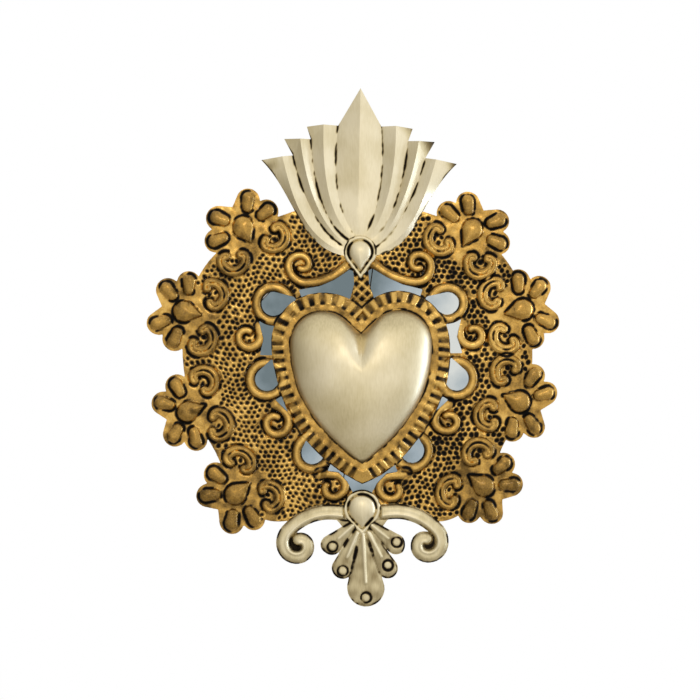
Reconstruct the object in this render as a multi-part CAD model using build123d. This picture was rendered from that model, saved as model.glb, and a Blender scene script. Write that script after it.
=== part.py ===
"""Hojalata heart: an embossed and pierced tin wall ornament.

Everything is laid out as if the ornament lay face up on a bench: x to the right, y to its
top, z from the wall towards the viewer, with the wall at z = 0. hang() then stands each
piece up against the wall, so that +Z is up and the front faces -Y. The origin is the
middle of the ring of flowers, on the wall. Lengths are millimetres, angles are degrees.
"""

import math
import os

from build123d import *

# Sheet metal and the stack behind the front sheet
TIN = 0.5                  # tinplate of the embossed pieces
PAN_TIN = 0.4              # thinner tinplate of the back pan
CARD_THICKNESS = 1.2
GLASS_THICKNESS = 3.0

# Ground: radius of its cut edge at angles from the top, the same on both sides
RING_X = -2.2              # the ground was cut a little left of the heart
GROUND_EDGE = (
    (0, 90.3), (24, 89.2), (56, 97.4), (90, 94.7), (120, 90.8), (150, 99.0), (165, 85.4), (180, 80.5),
)

# Flowers: where each one sits and which way it points, from +x, as a hand set them out
FLOWERS = (
    (60.0, 69.5, 58), (86.5, 27.0, 14), (84.5, -22.0, -22), (65.0, -67.5, -35),
    (-63.0, 72.0, 119), (-94.5, 28.0, 165), (-92.5, -25.5, 200), (-67.5, -70.5, 220),
)
FLOWER_BODY_RADIUS = 13.6
PETAL_ANGLES = (-80, -36, 36, 80)
PETAL_REACH = 14.8
PETAL_LENGTH = 11.8
PETAL_WIDTH = 7.4
PETAL_RISE = 2.2
PETAL_EDGE = 1.6           # flat edge left beyond each petal
PETAL_LOBE = 12.8          # width of the lobe that carries a petal
TEARDROP_LENGTH = 16.0
TEARDROP_WIDTH = 12.0
TEARDROP_RISE = 3.0
TEARDROP_CENTRE = 1.6      # round end, out from the flower's own centre

# Scrolls: a start, a heading and then tangent arcs as (radius, turn)
SCROLL_WIDTH = 4.4
SCROLL_RISE = 1.7
SCROLL_KNOB = 1.15         # blunt ends, as a share of the scroll's own section
FLOWER_SCROLL = ((-7.4, 15.1), 62.5, ((2.6, 100), (6.8, 165), (2.6, 100)))
VOLUTES = (
    ((54.4, 20.0), 264, ((60.0, 5), (6.5, 91), (5.5, 90), (4.0, 120))),
    ((46.6, -22.8), 212, ((30.0, 12), (7.0, 50), (6.5, 86), (5.5, 90), (4.0, 120))),
    ((23.0, -60.6), 179, ((50.0, 10), (6.4, 81), (6.0, 90), (5.0, 80), (3.0, 50))),
    ((10.2, 50.2), 322, ((34.0, 34), (9.0, 94), (6.2, 90), (4.6, 90), (3.2, 120))),
)

# Heart: two lobe arcs, two long side arcs and a notch between tangent lines
LOBE_X = 20.6
LOBE_Y = 10.0
LOBE_RADIUS = 17.9
SIDE_RADIUS = 74.5
NOTCH_ANGLE = 133.0        # where the notch line leaves the lobe
DOME_RISE = 14.0
DOME_TOP_Y = -6.0          # the dome's crown
DOME_STATIONS = (          # share of the outline, share of the rise, notch angle
    (1.0, 0.0, NOTCH_ANGLE),
    (0.965, 0.24, 132.0),
    (0.87, 0.52, 129.0),
    (0.71, 0.76, 123.0),
    (0.48, 0.92, 112.0),
    (0.22, 0.985, 102.0),
    (0.05, 1.0, 98.0),
)
BORDER_WIDTH = 10.0
BORDER_RISE = 2.2
BORDER_LIP = 1.0           # flat lip outside the flutes
FLUTE_LENGTH = 4.8         # sloping band of the border, from its flat top to its lip
TAB_WIDTH = 8.0
TAB_LENGTH = 5.0
TAB_CLEARANCE = 0.15
TAB_ANGLES = (-9, -30)     # along the side arcs

# Piercings on the right; the left side mirrors them
LOOPS = (                  # middle of the hole, and the nib that runs to the border
    ((47.1, 31.8), (37.3, 33.5)),
    ((51.4, -9.2), (48.1, -0.5)),
    ((26.9, -48.7), (26.9, -39.4)),
)
LOOP_HOLE_RADIUS = 6.9
LOOP_NIB_RADIUS = 2.4
LOOP_BAND = 4.8            # flat band cut round each hole
LOOP_LIP = 0.3             # flat lip on both sides of the raised part of the band
LOOP_RISE = 1.6
LOOP_TURN = 240            # how far the band goes round its hole
SLIVERS = (
    ((55.0, 22.8), (52.6, 13.0), (55.0, 4.0), (40.0, 4.0), (40.0, 22.8)),
    ((46.8, -20.4), (40.4, -26.9), (34.8, -36.2), (28.0, -34.0), (36.0, -14.0)),
    ((18.8, -59.3), (12.8, -60.2), (8.0, -65.3), (4.5, -72.0), (0.0, -72.0), (0.0, -50.0), (14.0, -48.0)),
    ((33.5, 39.2), (22.6, 41.4), (14.4, 45.0), (6.3, 50.0), (4.1, 49.0), (4.1, 28.0), (30.0, 28.0)),
)
NECK_FLARE = ((4.1, 42.0), (7.0, 33.0), (0.0, 27.0))

# Flame: folds on the right, from the middle ridge outwards. A fold starts on a circle round
# the boss and runs through three more control points to its tip.
FLAME_RISE = 3.4
FLAME_CENTRE_RISE = 4.6
FOLD_START = 0.45          # how far a fold has risen near its root
FOLD_END = 0.8             # and at its tip, as shares of its rise
FOLD_GAP = 0.4             # from the boss to the circle of the folds' feet
FOLD_STEP = 14.5           # from one foot to the next on that circle
FLAME_RIDGES = (
    ((0.0, 88.0), (0.0, 120.0), (0.0, 148.0)),
    ((15.0, 78.0), (20.0, 100.0), (19.6, 128.1)),
    ((19.5, 72.0), (28.5, 94.0), (32.1, 120.2)),
    ((27.0, 66.0), (35.0, 84.0), (41.6, 110.4)),
)
FLAME_VALLEYS = (
    ((12.5, 82.0), (14.0, 105.0), (11.7, 127.8)),
    ((18.0, 74.0), (24.5, 95.0), (26.4, 120.2)),
    ((21.0, 70.0), (30.0, 88.0), (35.9, 111.2)),
    ((32.0, 62.0), (34.0, 90.0), (53.0, 108.3)),
)
FLAME_CORNERS = ((28.7, 126.9), (40.8, 120.0))
FLAME_PAD_INSET = 0.8      # the pad under the boss stays inside its rim

# Bosses
FLAME_BOSS_Y = 59.6
FLAME_BOSS_RADIUS = 8.9
FLAME_BOSS_REACH = 14.7    # round centre to tip
PENDANT_BOSS_Y = -79.4
PENDANT_BOSS_RADIUS = 10.1
PENDANT_BOSS_REACH = 14.6
BOSS_RIM = 2.4
BOSS_RISE = 3.6

# Pendant
ARM = ((14.6, -81.3), 6, ((30.0, -56), (9.0, -60), (7.0, -90), (5.2, -90), (3.6, -90)))
ARM_WIDTH = 5.8
ARM_RISE = 2.2
PENDANT_EDGE = 0.6         # flat edge left round arms and leaves
LEAF_RISE = 2.0
LEAF_FOOT_WIDTH = 5.0
SIDE_LEAVES = (((7.5, -92.0), (17.4, -99.0), 9.4), ((5.5, -98.5), (12.2, -111.8), 9.8))
LOW_LEAF = ((0.0, -101.0), (0.0, -122.5), 19.4)
PENDANT_PLATE = ((15.0, -78.5), (15.0, -84.0), (9.5, -91.0), (7.0, -99.0), (3.0, -104.0))

# Back: panes, card and pan
PANE_WIDTH = 128.0
PANE_TOP = 59.0
PANE_BOTTOM = -73.0
PANE_CORNER = 36.0
PANE_CLEARANCE = 0.5
SEAM_TOP_X = 8.0
SEAM_BOTTOM_X = -11.6
SEAM_GAP = 0.6
PAN_FLANGE = 4.0

# Hanger
HANGER_Y = 86.0
WIRE_DIAMETER = 1.8
WIRE_CLEARANCE = 0.08
WIRE_BUTT = 0.3            # the bent wire's ends meet inside the strap
RING_HALF_WIDTH = 7.0
RING_SIDE = 9.0
RING_CORNER = 2.2
STRAP_TIN = 0.5
STRAP_WIDTH = 7.0
STRAP_LENGTH = 8.0
STRAP_RETURN = 6.0

# Solder beads
BEAD_RADIUS = 2.6
BEAD_RISE = 1.4
FLAME_BEADS = (11.4, 21.6)
PENDANT_BEAD = 11.0

# Heights worked out from the stack
CARD_BACK = PAN_TIN
GLASS_BACK = CARD_BACK + CARD_THICKNESS
FRAME_BACK = GLASS_BACK + GLASS_THICKNESS
FRAME_FRONT = FRAME_BACK + TIN
PLATEAU_FRONT = FRAME_FRONT + BORDER_RISE
SHEET_FRONT = FRAME_FRONT + TIN
FAR = 400.0


def polar(radius, angle):
    """A point at an angle from +x."""
    return radius * math.cos(math.radians(angle)), radius * math.sin(math.radians(angle))


def both_sides(solids):
    """The solids and their mirror images about the upright axis."""
    return list(solids) + [mirror(solid, about=Plane.YZ) for solid in solids]


def in_front_of(height):
    """Everything nearer to the viewer than a height."""
    return Pos(0, 0, height + FAR / 2) * Box(FAR, FAR, FAR)


def section_of(width, rise):
    """Radius of a round section that stands up by rise, and how deep its centre is sunk."""
    radius = (width * width / 4 + rise * rise) / (2 * rise)
    return radius, radius - rise


def capsule(length, near, far):
    """A round-ended solid along +x: radius near at x = 0, radius far at x = length."""
    slope = math.degrees(math.asin((near - far) / length))
    start = (-near, 0)
    first = polar(near, 90 - slope)
    turn = polar(near, (180 + 90 - slope) / 2)
    second = (length + far * math.sin(math.radians(slope)), far * math.cos(math.radians(slope)))
    end_turn = polar(far, (90 - slope) / 2)
    end = (length + far, 0)
    outline = [
        ThreePointArc(start, turn, first),
        Line(first, second),
        ThreePointArc(second, (length + end_turn[0], end_turn[1]), end),
        Line(end, start),
    ]
    return revolve(make_face(outline), axis=Axis.X)


def boss(start, end, near_width, far_width, rise, base):
    """A raised, tapered boss and the hollow behind it, from a start to an end point."""
    near, sunk = section_of(near_width, rise)
    far = math.hypot(far_width / 2, sunk)
    run = Vector(*end) - Vector(*start)
    heading = math.degrees(math.atan2(run.Y, run.X))
    place = Location((start[0], start[1], base - sunk), (0, 0, heading))
    return place * capsule(run.length, near, far), place * capsule(run.length, near - TIN, far - TIN)


def scroll_path(scroll, height):
    """The middle line of a scroll, as tangent arcs."""
    (x, y), heading, turns = scroll
    point = Vector(x, y, height)
    arcs = []
    for radius, turn in turns:
        arc = JernArc(point, (*polar(1, heading), 0), radius, turn)
        arcs.append(arc)
        point = arc @ 1
        heading += turn
    return Wire([edge for arc in arcs for edge in arc.edges()])


def tube(path, radius, knob):
    """A round tube along a path, with a knob at each end."""
    section = Plane(origin=path @ 0, z_dir=path % 0) * Circle(radius)
    knobs = [Pos(path @ end) * Sphere(radius * knob) for end in (0, 1)]
    return [sweep(section, path=path)] + knobs


def ridge(scroll, width, rise, base):
    """A raised scroll and the hollow behind it, as two lists of solids."""
    radius, sunk = section_of(width, rise)
    path = scroll_path(scroll, base - sunk)
    return tube(path, radius, SCROLL_KNOB), tube(path, radius - TIN, SCROLL_KNOB)


def teardrop_face(radius, reach):
    """A round outline drawn out to a tip in -y."""
    spread = math.degrees(math.acos(radius / reach))
    left = polar(radius, 270 - spread)
    right = polar(radius, 270 + spread)
    tip = (0, -reach)
    return make_face([ThreePointArc(right, (0, radius), left), Line(left, tip), Line(tip, right)])


def heart_face(offset, notch_angle=NOTCH_ANGLE):
    """The heart's outline, moved outwards by an offset."""
    lobe = LOBE_RADIUS + offset
    side = SIDE_RADIUS + offset
    side_x = LOBE_X + LOBE_RADIUS - SIDE_RADIUS
    tip_y = LOBE_Y - math.sqrt(side * side - side_x * side_x)
    lean = math.radians(notch_angle)
    notch_y = LOBE_Y + (lobe + LOBE_X * math.cos(lean)) / math.sin(lean)
    tip_angle = math.degrees(math.atan2(tip_y - LOBE_Y, -side_x))
    middle = polar(side, tip_angle / 2)
    leave = polar(lobe, notch_angle)
    crown = polar(lobe, notch_angle / 2)
    shoulder = (LOBE_X + lobe, LOBE_Y)
    notch_end = (LOBE_X + leave[0], LOBE_Y + leave[1])
    half = [
        ThreePointArc((0, tip_y), (side_x + middle[0], LOBE_Y + middle[1]), shoulder),
        ThreePointArc(shoulder, (LOBE_X + crown[0], LOBE_Y + crown[1]), notch_end),
        Line(notch_end, (0, notch_y)),
    ]
    return make_face(half + [mirror(edge, about=Plane.YZ) for edge in half])


def flower_places():
    """Where each flower sits, with its own +x pointing outwards."""
    return [Location((x, y, 0), (0, 0, heading)) for x, y, heading in FLOWERS]


def flower_outline():
    """The flat cut of one flower: its body and a lobe for each petal."""
    end = PETAL_REACH + PETAL_LENGTH / 2 + PETAL_EDGE - PETAL_LOBE / 2
    lobe = Pos(end / 2, 0) * SlotCenterToCenter(end, PETAL_LOBE)
    return [Circle(FLOWER_BODY_RADIUS)] + [Rot(Z=angle) * lobe for angle in PETAL_ANGLES]


def flower_relief():
    """The raised petals, teardrop and scrolls of one flower, and the hollows behind them."""
    half = (PETAL_LENGTH - PETAL_WIDTH) / 2
    tip = TEARDROP_CENTRE + TEARDROP_WIDTH / 2 - TEARDROP_LENGTH
    drop = boss((TEARDROP_CENTRE, 0), (tip, 0), TEARDROP_WIDTH, 0, TEARDROP_RISE, FRAME_FRONT)
    raised, hollows = [drop[0]], [drop[1]]
    for angle in PETAL_ANGLES:
        inner, outer = polar(PETAL_REACH - half, angle), polar(PETAL_REACH + half, angle)
        petal = boss(inner, outer, PETAL_WIDTH, PETAL_WIDTH, PETAL_RISE, FRAME_FRONT)
        raised.append(petal[0])
        hollows.append(petal[1])
    scroll = ridge(FLOWER_SCROLL, SCROLL_WIDTH, SCROLL_RISE, FRAME_FRONT)
    for solids, group in ((scroll[0], raised), (scroll[1], hollows)):
        group += solids + [mirror(solid, about=Plane.XZ) for solid in solids]
    return raised, hollows


def polygon(points):
    """A face with straight edges through the points."""
    return make_face(Polyline(*points, close=True))


def loop_ring(centre, nib):
    """The raised band round a loop, open where the loop meets the heart border."""
    away = math.degrees(math.atan2(centre[1] - nib[1], centre[0] - nib[0]))
    middle = LOOP_HOLE_RADIUS + LOOP_BAND / 2
    x, y = polar(middle, away - LOOP_TURN / 2)
    band = ((centre[0] + x, centre[1] + y), away - LOOP_TURN / 2 + 90, ((middle, LOOP_TURN),))
    return ridge(band, LOOP_BAND - 2 * LOOP_LIP, LOOP_RISE, FRAME_FRONT)


def frame_face():
    """The flat cut of the front sheet, with its piercings."""
    edge = [polar(radius, 90 - angle) for angle, radius in GROUND_EDGE]
    left = [(-x, y) for x, y in reversed(edge[1:-1])]
    ground = Pos(RING_X, 0) * make_face(Spline(*(edge + left), periodic=True))
    flowers = [place * outline for place in flower_places() for outline in flower_outline()]
    slivers = both_sides([polygon(points) for points in SLIVERS])
    discs = both_sides([Pos(*centre) * Circle(LOOP_HOLE_RADIUS + LOOP_BAND) for centre, _ in LOOPS])
    holes = []
    for centre, nib in LOOPS:
        run = Vector(*nib) - Vector(*centre)
        reach = run.length + LOOP_NIB_RADIUS
        place = Location((*centre, 0), (0, 0, math.degrees(math.atan2(run.Y, run.X)) + 90))
        holes.append(place * teardrop_face(LOOP_HOLE_RADIUS, reach))
    neck = polygon(NECK_FLARE + tuple((-x, y) for x, y in reversed(NECK_FLARE[:-1])))
    border = heart_face(BORDER_WIDTH)
    return ((ground + flowers) - slivers + discs - both_sides(holes)) + border + neck


def border_plateau():
    """The heart border as it stands up from the ground, with its foot inside the blank."""
    sink = TIN / 2
    run_out = FLUTE_LENGTH * sink / BORDER_RISE
    low = Pos(0, 0, FRAME_FRONT - sink) * heart_face(BORDER_WIDTH - BORDER_LIP + run_out)
    high = Pos(0, 0, PLATEAU_FRONT) * heart_face(BORDER_WIDTH - BORDER_LIP - FLUTE_LENGTH)
    return loft([low, high], ruled=True)


def side_place(angle, offset, height):
    """A place on the right side arc of the heart, with its own +x pointing outwards."""
    x, y = polar(SIDE_RADIUS + offset, angle)
    return Location((LOBE_X + LOBE_RADIUS - SIDE_RADIUS + x, LOBE_Y + y, height), (0, 0, angle))


def heart_tabs(clearance):
    """The dome's bent tabs, or with a clearance the slots that they pass through."""
    upright = Box(TIN + 2 * clearance, TAB_WIDTH + 2 * clearance, 3 * TIN)
    height = PLATEAU_FRONT - TIN / 2
    return both_sides([side_place(angle, -TIN / 2, height) * upright for angle in TAB_ANGLES])


def tab_leaves():
    """The ends of the tabs, bent flat behind the border."""
    leaf = Box(TAB_LENGTH, TAB_WIDTH, TIN)
    height = PLATEAU_FRONT - TIN - TIN / 2
    return both_sides([side_place(angle, -TAB_LENGTH / 2, height) * leaf for angle in TAB_ANGLES])


def emboss(sheet, reliefs, front):
    """Raises pairs of solids and hollows from a sheet whose front lies at a height."""
    foot = in_front_of(front - TIN / 2)
    raised = [solid & foot for outer, _ in reliefs for solid in outer]
    hollows = [solid for _, inner in reliefs for solid in inner]
    return sheet.fuse(*raised).cut(*hollows)


def frame_sheet():
    """The gold front sheet: one piece of tin, embossed and pierced."""
    sheet = Pos(0, 0, FRAME_BACK) * extrude(frame_face(), TIN)
    flower = flower_relief()
    flowers = [[[place * solid for solid in group] for group in flower] for place in flower_places()]
    scrolls = [loop_ring(*loop) for loop in LOOPS]
    scrolls += [ridge(volute, SCROLL_WIDTH, SCROLL_RISE, FRAME_FRONT) for volute in VOLUTES]
    sheet = emboss(sheet, flowers, FRAME_FRONT)
    sheet = emboss(sheet, [[both_sides(group) for group in scroll] for scroll in scrolls], FRAME_FRONT)
    plateau = border_plateau()
    return sheet + plateau - Pos(0, 0, -TIN) * plateau - heart_tabs(TAB_CLEARANCE)


def dome(shrink):
    """The solid under the dome's outer skin, or under its inner skin with a shrink."""
    sections = []
    for share, height, notch_angle in DOME_STATIONS:
        face = scale(heart_face(-shrink, notch_angle), share)
        level = PLATEAU_FRONT + height * DOME_RISE - shrink
        sections.append(Pos(0, DOME_TOP_Y * (1 - share), level) * face)
    return loft(sections)


def heart_dome():
    """The domed heart, with tabs through the border and bent flat behind it."""
    return dome(0) - dome(TIN) + heart_tabs(0) + tab_leaves()


def fold_foot(index):
    """Where a fold starts, on a circle round the boss, counted from the middle ridge."""
    x, y = polar(FLAME_BOSS_RADIUS + FOLD_GAP, 90 - index * FOLD_STEP)
    return x, FLAME_BOSS_Y + y


def fold(index, points, rise, side):
    """A fold line of the flame on one side, flat at its foot and standing up by rise."""
    shares = (0, FOLD_START, 1, FOLD_END)
    line = zip((fold_foot(index), *points), shares)
    return Bezier(*[(side * x, y, SHEET_FRONT + rise * share) for (x, y), share in line])


def flame_folds(side):
    """The fold lines from the middle ridge outwards, ridges and valleys by turns."""
    folds = []
    for index, (crest, dip) in enumerate(zip(FLAME_RIDGES, FLAME_VALLEYS)):
        folds.append(fold(2 * index, crest, FLAME_RISE if index else FLAME_CENTRE_RISE, side))
        folds.append(fold(2 * index + 1, dip, 0, side))
    return folds


def flame_half(side):
    """One side of the pleated sheet, as a closed solid."""
    folds = [line.edge() for line in flame_folds(side)]
    front = [Face.make_surface_from_curves(a, b) for a, b in zip(folds, folds[1:])]
    rims = [folds[0], folds[-1]]
    rims += [Edge.make_line(a @ 0, b @ 0) for a, b in zip(folds, folds[1:])]
    for index, (a, b) in enumerate(zip(folds, folds[1:])):
        corner = index // 2 - 1
        if index % 2 == 0 and 0 <= corner < len(FLAME_CORNERS):
            x, y = FLAME_CORNERS[corner]
            peak = Vector(side * x, y, SHEET_FRONT)
            front.append(Face(Wire.make_polygon([a @ 1, peak, b @ 1])))
            rims += [Edge.make_line(a @ 1, peak), Edge.make_line(peak, b @ 1)]
        else:
            rims.append(Edge.make_line(a @ 1, b @ 1))
    down = Location((0, 0, -TIN))
    back = [face.moved(down) for face in front]
    walls = [Face.make_surface_from_curves(edge, edge.moved(down)) for edge in rims]
    return Solid(Shell(front + back + walls))


def flame_fan():
    """The flame: a fan of pleats and the flat pad that carries its boss."""
    feet = [fold_foot(index) for index in range(2 * len(FLAME_RIDGES))]
    top = polygon(feet + [(-x, y) for x, y in reversed(feet[1:])])
    foot = teardrop_face(FLAME_BOSS_RADIUS - FLAME_PAD_INSET, FLAME_BOSS_REACH - FLAME_PAD_INSET)
    pad = Pos(0, 0, FRAME_FRONT) * extrude(top + Pos(0, FLAME_BOSS_Y) * foot, TIN)
    return Part() + [flame_half(1), flame_half(-1), pad]


def rimmed_boss(y, radius, reach, base):
    """A stamped teardrop with a flat rim, lying on a base height."""
    rim = Pos(0, y, base) * extrude(teardrop_face(radius, reach), TIN)
    width = 2 * (radius - BOSS_RIM)
    tip = y - (reach - BOSS_RIM * reach / radius)
    outer, inner = boss((0, y), (0, tip), width, 0, BOSS_RISE, base + TIN)
    return emboss(rim, [([outer], [inner])], base + TIN)


def flame_boss():
    """The teardrop at the foot of the flame."""
    return rimmed_boss(FLAME_BOSS_Y, FLAME_BOSS_RADIUS, FLAME_BOSS_REACH, SHEET_FRONT)


def pendant_boss():
    """The teardrop on the pendant."""
    return rimmed_boss(PENDANT_BOSS_Y, PENDANT_BOSS_RADIUS, PENDANT_BOSS_REACH, SHEET_FRONT)


def leaf(foot, end, width):
    """The flat cut and the relief of one leaf of the palmette."""
    ends = ((end, width), (foot, LEAF_FOOT_WIDTH))
    discs = [Pos(*place) * Circle(size / 2 + PENDANT_EDGE) for place, size in ends]
    cut = make_hull([edge for disc in discs for edge in disc.edges()])
    outer, inner = boss(end, foot, width, LEAF_FOOT_WIDTH, LEAF_RISE, SHEET_FRONT)
    return cut, ([outer], [inner])


def pendant_sheet():
    """The palmette with its two scrolled arms."""
    plate = polygon(PENDANT_PLATE + tuple((-x, y) for x, y in reversed(PENDANT_PLATE)))
    arm_cut = trace(scroll_path(ARM, 0), ARM_WIDTH + 2 * PENDANT_EDGE)
    leaves = [leaf(*points) for points in SIDE_LEAVES]
    low_cut, low_relief = leaf(*LOW_LEAF)
    cuts = both_sides([arm_cut] + [cut for cut, _ in leaves]) + [low_cut]
    blank = Pos(0, 0, FRAME_FRONT) * extrude(plate + cuts, TIN)
    sided = [ridge(ARM, ARM_WIDTH, ARM_RISE, SHEET_FRONT)] + [relief for _, relief in leaves]
    reliefs = [[both_sides(group) for group in relief] for relief in sided]
    return emboss(blank, reliefs + [low_relief], SHEET_FRONT)


def octagon(grow):
    """The panes' outline with its corners cut, grown on every side."""
    half = PANE_WIDTH / 2 + grow
    top, bottom = PANE_TOP + grow, PANE_BOTTOM - grow
    corner = PANE_CORNER + grow * (2 - math.sqrt(2))
    right = [(half - corner, top), (half, top - corner), (half, bottom + corner), (half - corner, bottom)]
    return right + [(-x, y) for x, y in reversed(right)]


def mirror_pane(side):
    """One of the two offcut panes, on its side of the slanted seam."""
    gap = side * SEAM_GAP / 2
    run = PANE_TOP - PANE_BOTTOM
    lean = (SEAM_TOP_X - SEAM_BOTTOM_X) / run
    top, bottom = SEAM_TOP_X + lean * run, SEAM_BOTTOM_X - lean * run
    half = [
        (top + gap, PANE_TOP + run),
        (bottom + gap, PANE_BOTTOM - run),
        (side * PANE_WIDTH, PANE_BOTTOM - run),
        (side * PANE_WIDTH, PANE_TOP + run),
    ]
    return Pos(0, 0, GLASS_BACK) * extrude(polygon(octagon(0)) & polygon(half), GLASS_THICKNESS)


def mirror_left():
    """The pane on the left of the seam."""
    return mirror_pane(-1)


def mirror_right():
    """The pane on the right of the seam."""
    return mirror_pane(1)


def backing_card():
    """The card between the panes and the pan."""
    return Pos(0, 0, CARD_BACK) * extrude(polygon(octagon(0)), CARD_THICKNESS)


def back_pan():
    """The folded pan that holds panes and card against the front sheet."""
    inside = PANE_CLEARANCE
    outside = inside + PAN_TIN
    wall = extrude(polygon(octagon(outside)), FRAME_BACK)
    room = Pos(0, 0, PAN_TIN) * extrude(polygon(octagon(inside)), FRAME_BACK)
    brim = polygon(octagon(outside + PAN_FLANGE)) - polygon(octagon(inside))
    return wall - room + Pos(0, 0, FRAME_BACK - PAN_TIN) * extrude(brim, PAN_TIN)


def barrel_height():
    """Height of the hanger's axis: the barrel lies against the back of the front sheet."""
    return FRAME_BACK - STRAP_TIN - WIRE_CLEARANCE - WIRE_DIAMETER / 2


def hanger_strap():
    """The folded strap whose barrel holds the ring."""
    bore = WIRE_DIAMETER / 2 + WIRE_CLEARANCE
    middle = (HANGER_Y, barrel_height())
    front = (HANGER_Y - STRAP_LENGTH / 2, FRAME_BACK - STRAP_TIN / 2)
    rear = (HANGER_Y - STRAP_RETURN / 2, FRAME_BACK - 3 * STRAP_TIN / 2)
    side = Pos(*middle) * Circle(bore + STRAP_TIN)
    side += Pos(*front) * Rectangle(STRAP_LENGTH, STRAP_TIN)
    side += Pos(*rear) * Rectangle(STRAP_RETURN, STRAP_TIN)
    side -= Pos(*middle) * Circle(bore)
    return Plane.YZ * extrude(side, STRAP_WIDTH / 2, both=True)


def hanger_ring():
    """The bent-wire ring, hanging down from the strap."""
    half, low = RING_HALF_WIDTH, HANGER_Y - RING_SIDE
    bend = half - RING_CORNER
    top = HANGER_Y - RING_CORNER
    runs = [
        Line((WIRE_BUTT / 2, HANGER_Y), (bend, HANGER_Y)),
        JernArc((bend, HANGER_Y), (1, 0), RING_CORNER, -90),
        Line((half, top), (half, low)),
        JernArc((half, low), (0, -1), half, -180),
        Line((-half, low), (-half, top)),
        JernArc((-half, top), (0, 1), RING_CORNER, -90),
        Line((-bend, HANGER_Y), (-WIRE_BUTT / 2, HANGER_Y)),
    ]
    path = Wire([edge for run in runs for edge in run.edges()])
    section = Plane(origin=path @ 0, z_dir=path % 0) * Circle(WIRE_DIAMETER / 2)
    return Pos(0, 0, barrel_height()) * sweep(section, path=path)


def bead(x, y, height):
    """A bead of solder on the back of a sheet, which lies at a height."""
    radius, sunk = section_of(2 * BEAD_RADIUS, BEAD_RISE)
    return Pos(x, y, height + sunk) * Sphere(radius) - in_front_of(height)


def edge_bead(x, y, sheet):
    """A bead that fills the step from the front sheet's edge to the sheet in front of it."""
    return Pos(x, y, FRAME_FRONT) * Sphere(BEAD_RADIUS) - in_front_of(FRAME_FRONT) - sheet


def on_ground_edge(x, radius):
    """Height of the front sheet's cut edge above the ring's middle, where its radius is known."""
    return math.sqrt(radius ** 2 - (x - RING_X) ** 2)


def pan_solder(pan):
    """Beads along the pan's flange."""
    corners = octagon(PANE_CLEARANCE + PAN_TIN + PAN_FLANGE)
    sides = zip(corners, corners[1:] + corners[:1])
    middles = [((a[0] + b[0]) / 2, (a[1] + b[1]) / 2) for a, b in sides]
    return [bead(x, y, FRAME_BACK) - pan for x, y in middles]


def flame_solder(sheet):
    """Beads behind the flame, on the top edge of the front sheet."""
    radius = GROUND_EDGE[0][1]
    places = [side * x for x in FLAME_BEADS for side in (1, -1)]
    return [edge_bead(x, on_ground_edge(x, radius), sheet) for x in places]


def pendant_solder(sheet, pan):
    """Beads behind the pendant, on the bottom edge of the front sheet and against the pan."""
    radius = GROUND_EDGE[-1][1]
    places = (PENDANT_BEAD, -PENDANT_BEAD)
    return [edge_bead(x, -on_ground_edge(x, radius), sheet) - pan for x in places]


def strap_solder(strap):
    """Beads on both sides of the hanger's strap."""
    middle = HANGER_Y - STRAP_LENGTH / 2
    return [bead(side * STRAP_WIDTH / 2, middle, FRAME_BACK) - strap for side in (1, -1)]


def hang(piece):
    """Stands a piece up from the bench against the wall."""
    return Plane.XZ.location * piece


def build():
    """All pieces by name, on the bench."""
    pieces = {
        "frame_sheet": frame_sheet(),
        "heart_dome": heart_dome(),
        "flame_fan": flame_fan(),
        "flame_boss": flame_boss(),
        "pendant_sheet": pendant_sheet(),
        "pendant_boss": pendant_boss(),
        "mirror_left": mirror_left(),
        "mirror_right": mirror_right(),
        "backing_card": backing_card(),
        "back_pan": back_pan(),
        "hanger_strap": hanger_strap(),
        "hanger_ring": hanger_ring(),
    }
    sheet, pan = pieces["frame_sheet"], pieces["back_pan"]
    pieces["pan_solder"] = Compound(pan_solder(pan))
    pieces["flame_solder"] = Compound(flame_solder(sheet))
    pieces["pendant_solder"] = Compound(pendant_solder(sheet, pan))
    pieces["strap_solder"] = Compound(strap_solder(pieces["hanger_strap"]))
    return pieces


if __name__ == "__main__":
    os.makedirs("parts", exist_ok=True)
    for name, piece in build().items():
        export_step(hang(piece), f"parts/{name}.step")
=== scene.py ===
# %% [markdown]
# # A tin heart for the wall
#
# The real object is Mexican tinwork: thin tinplate that was pressed over wood or lead, chased
# with punches, pierced with a chisel, lacquered gold and rubbed with black patina. A domed heart,
# a pleated flame and a small pendant of silver-coloured tin are fixed to the gold sheet, and two
# pieces of mirror lie behind the piercings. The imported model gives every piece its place. Here
# each pressed sheet gets the fine relief that makes tinwork what it is, and each surface its
# finish.

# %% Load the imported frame
import math

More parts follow.
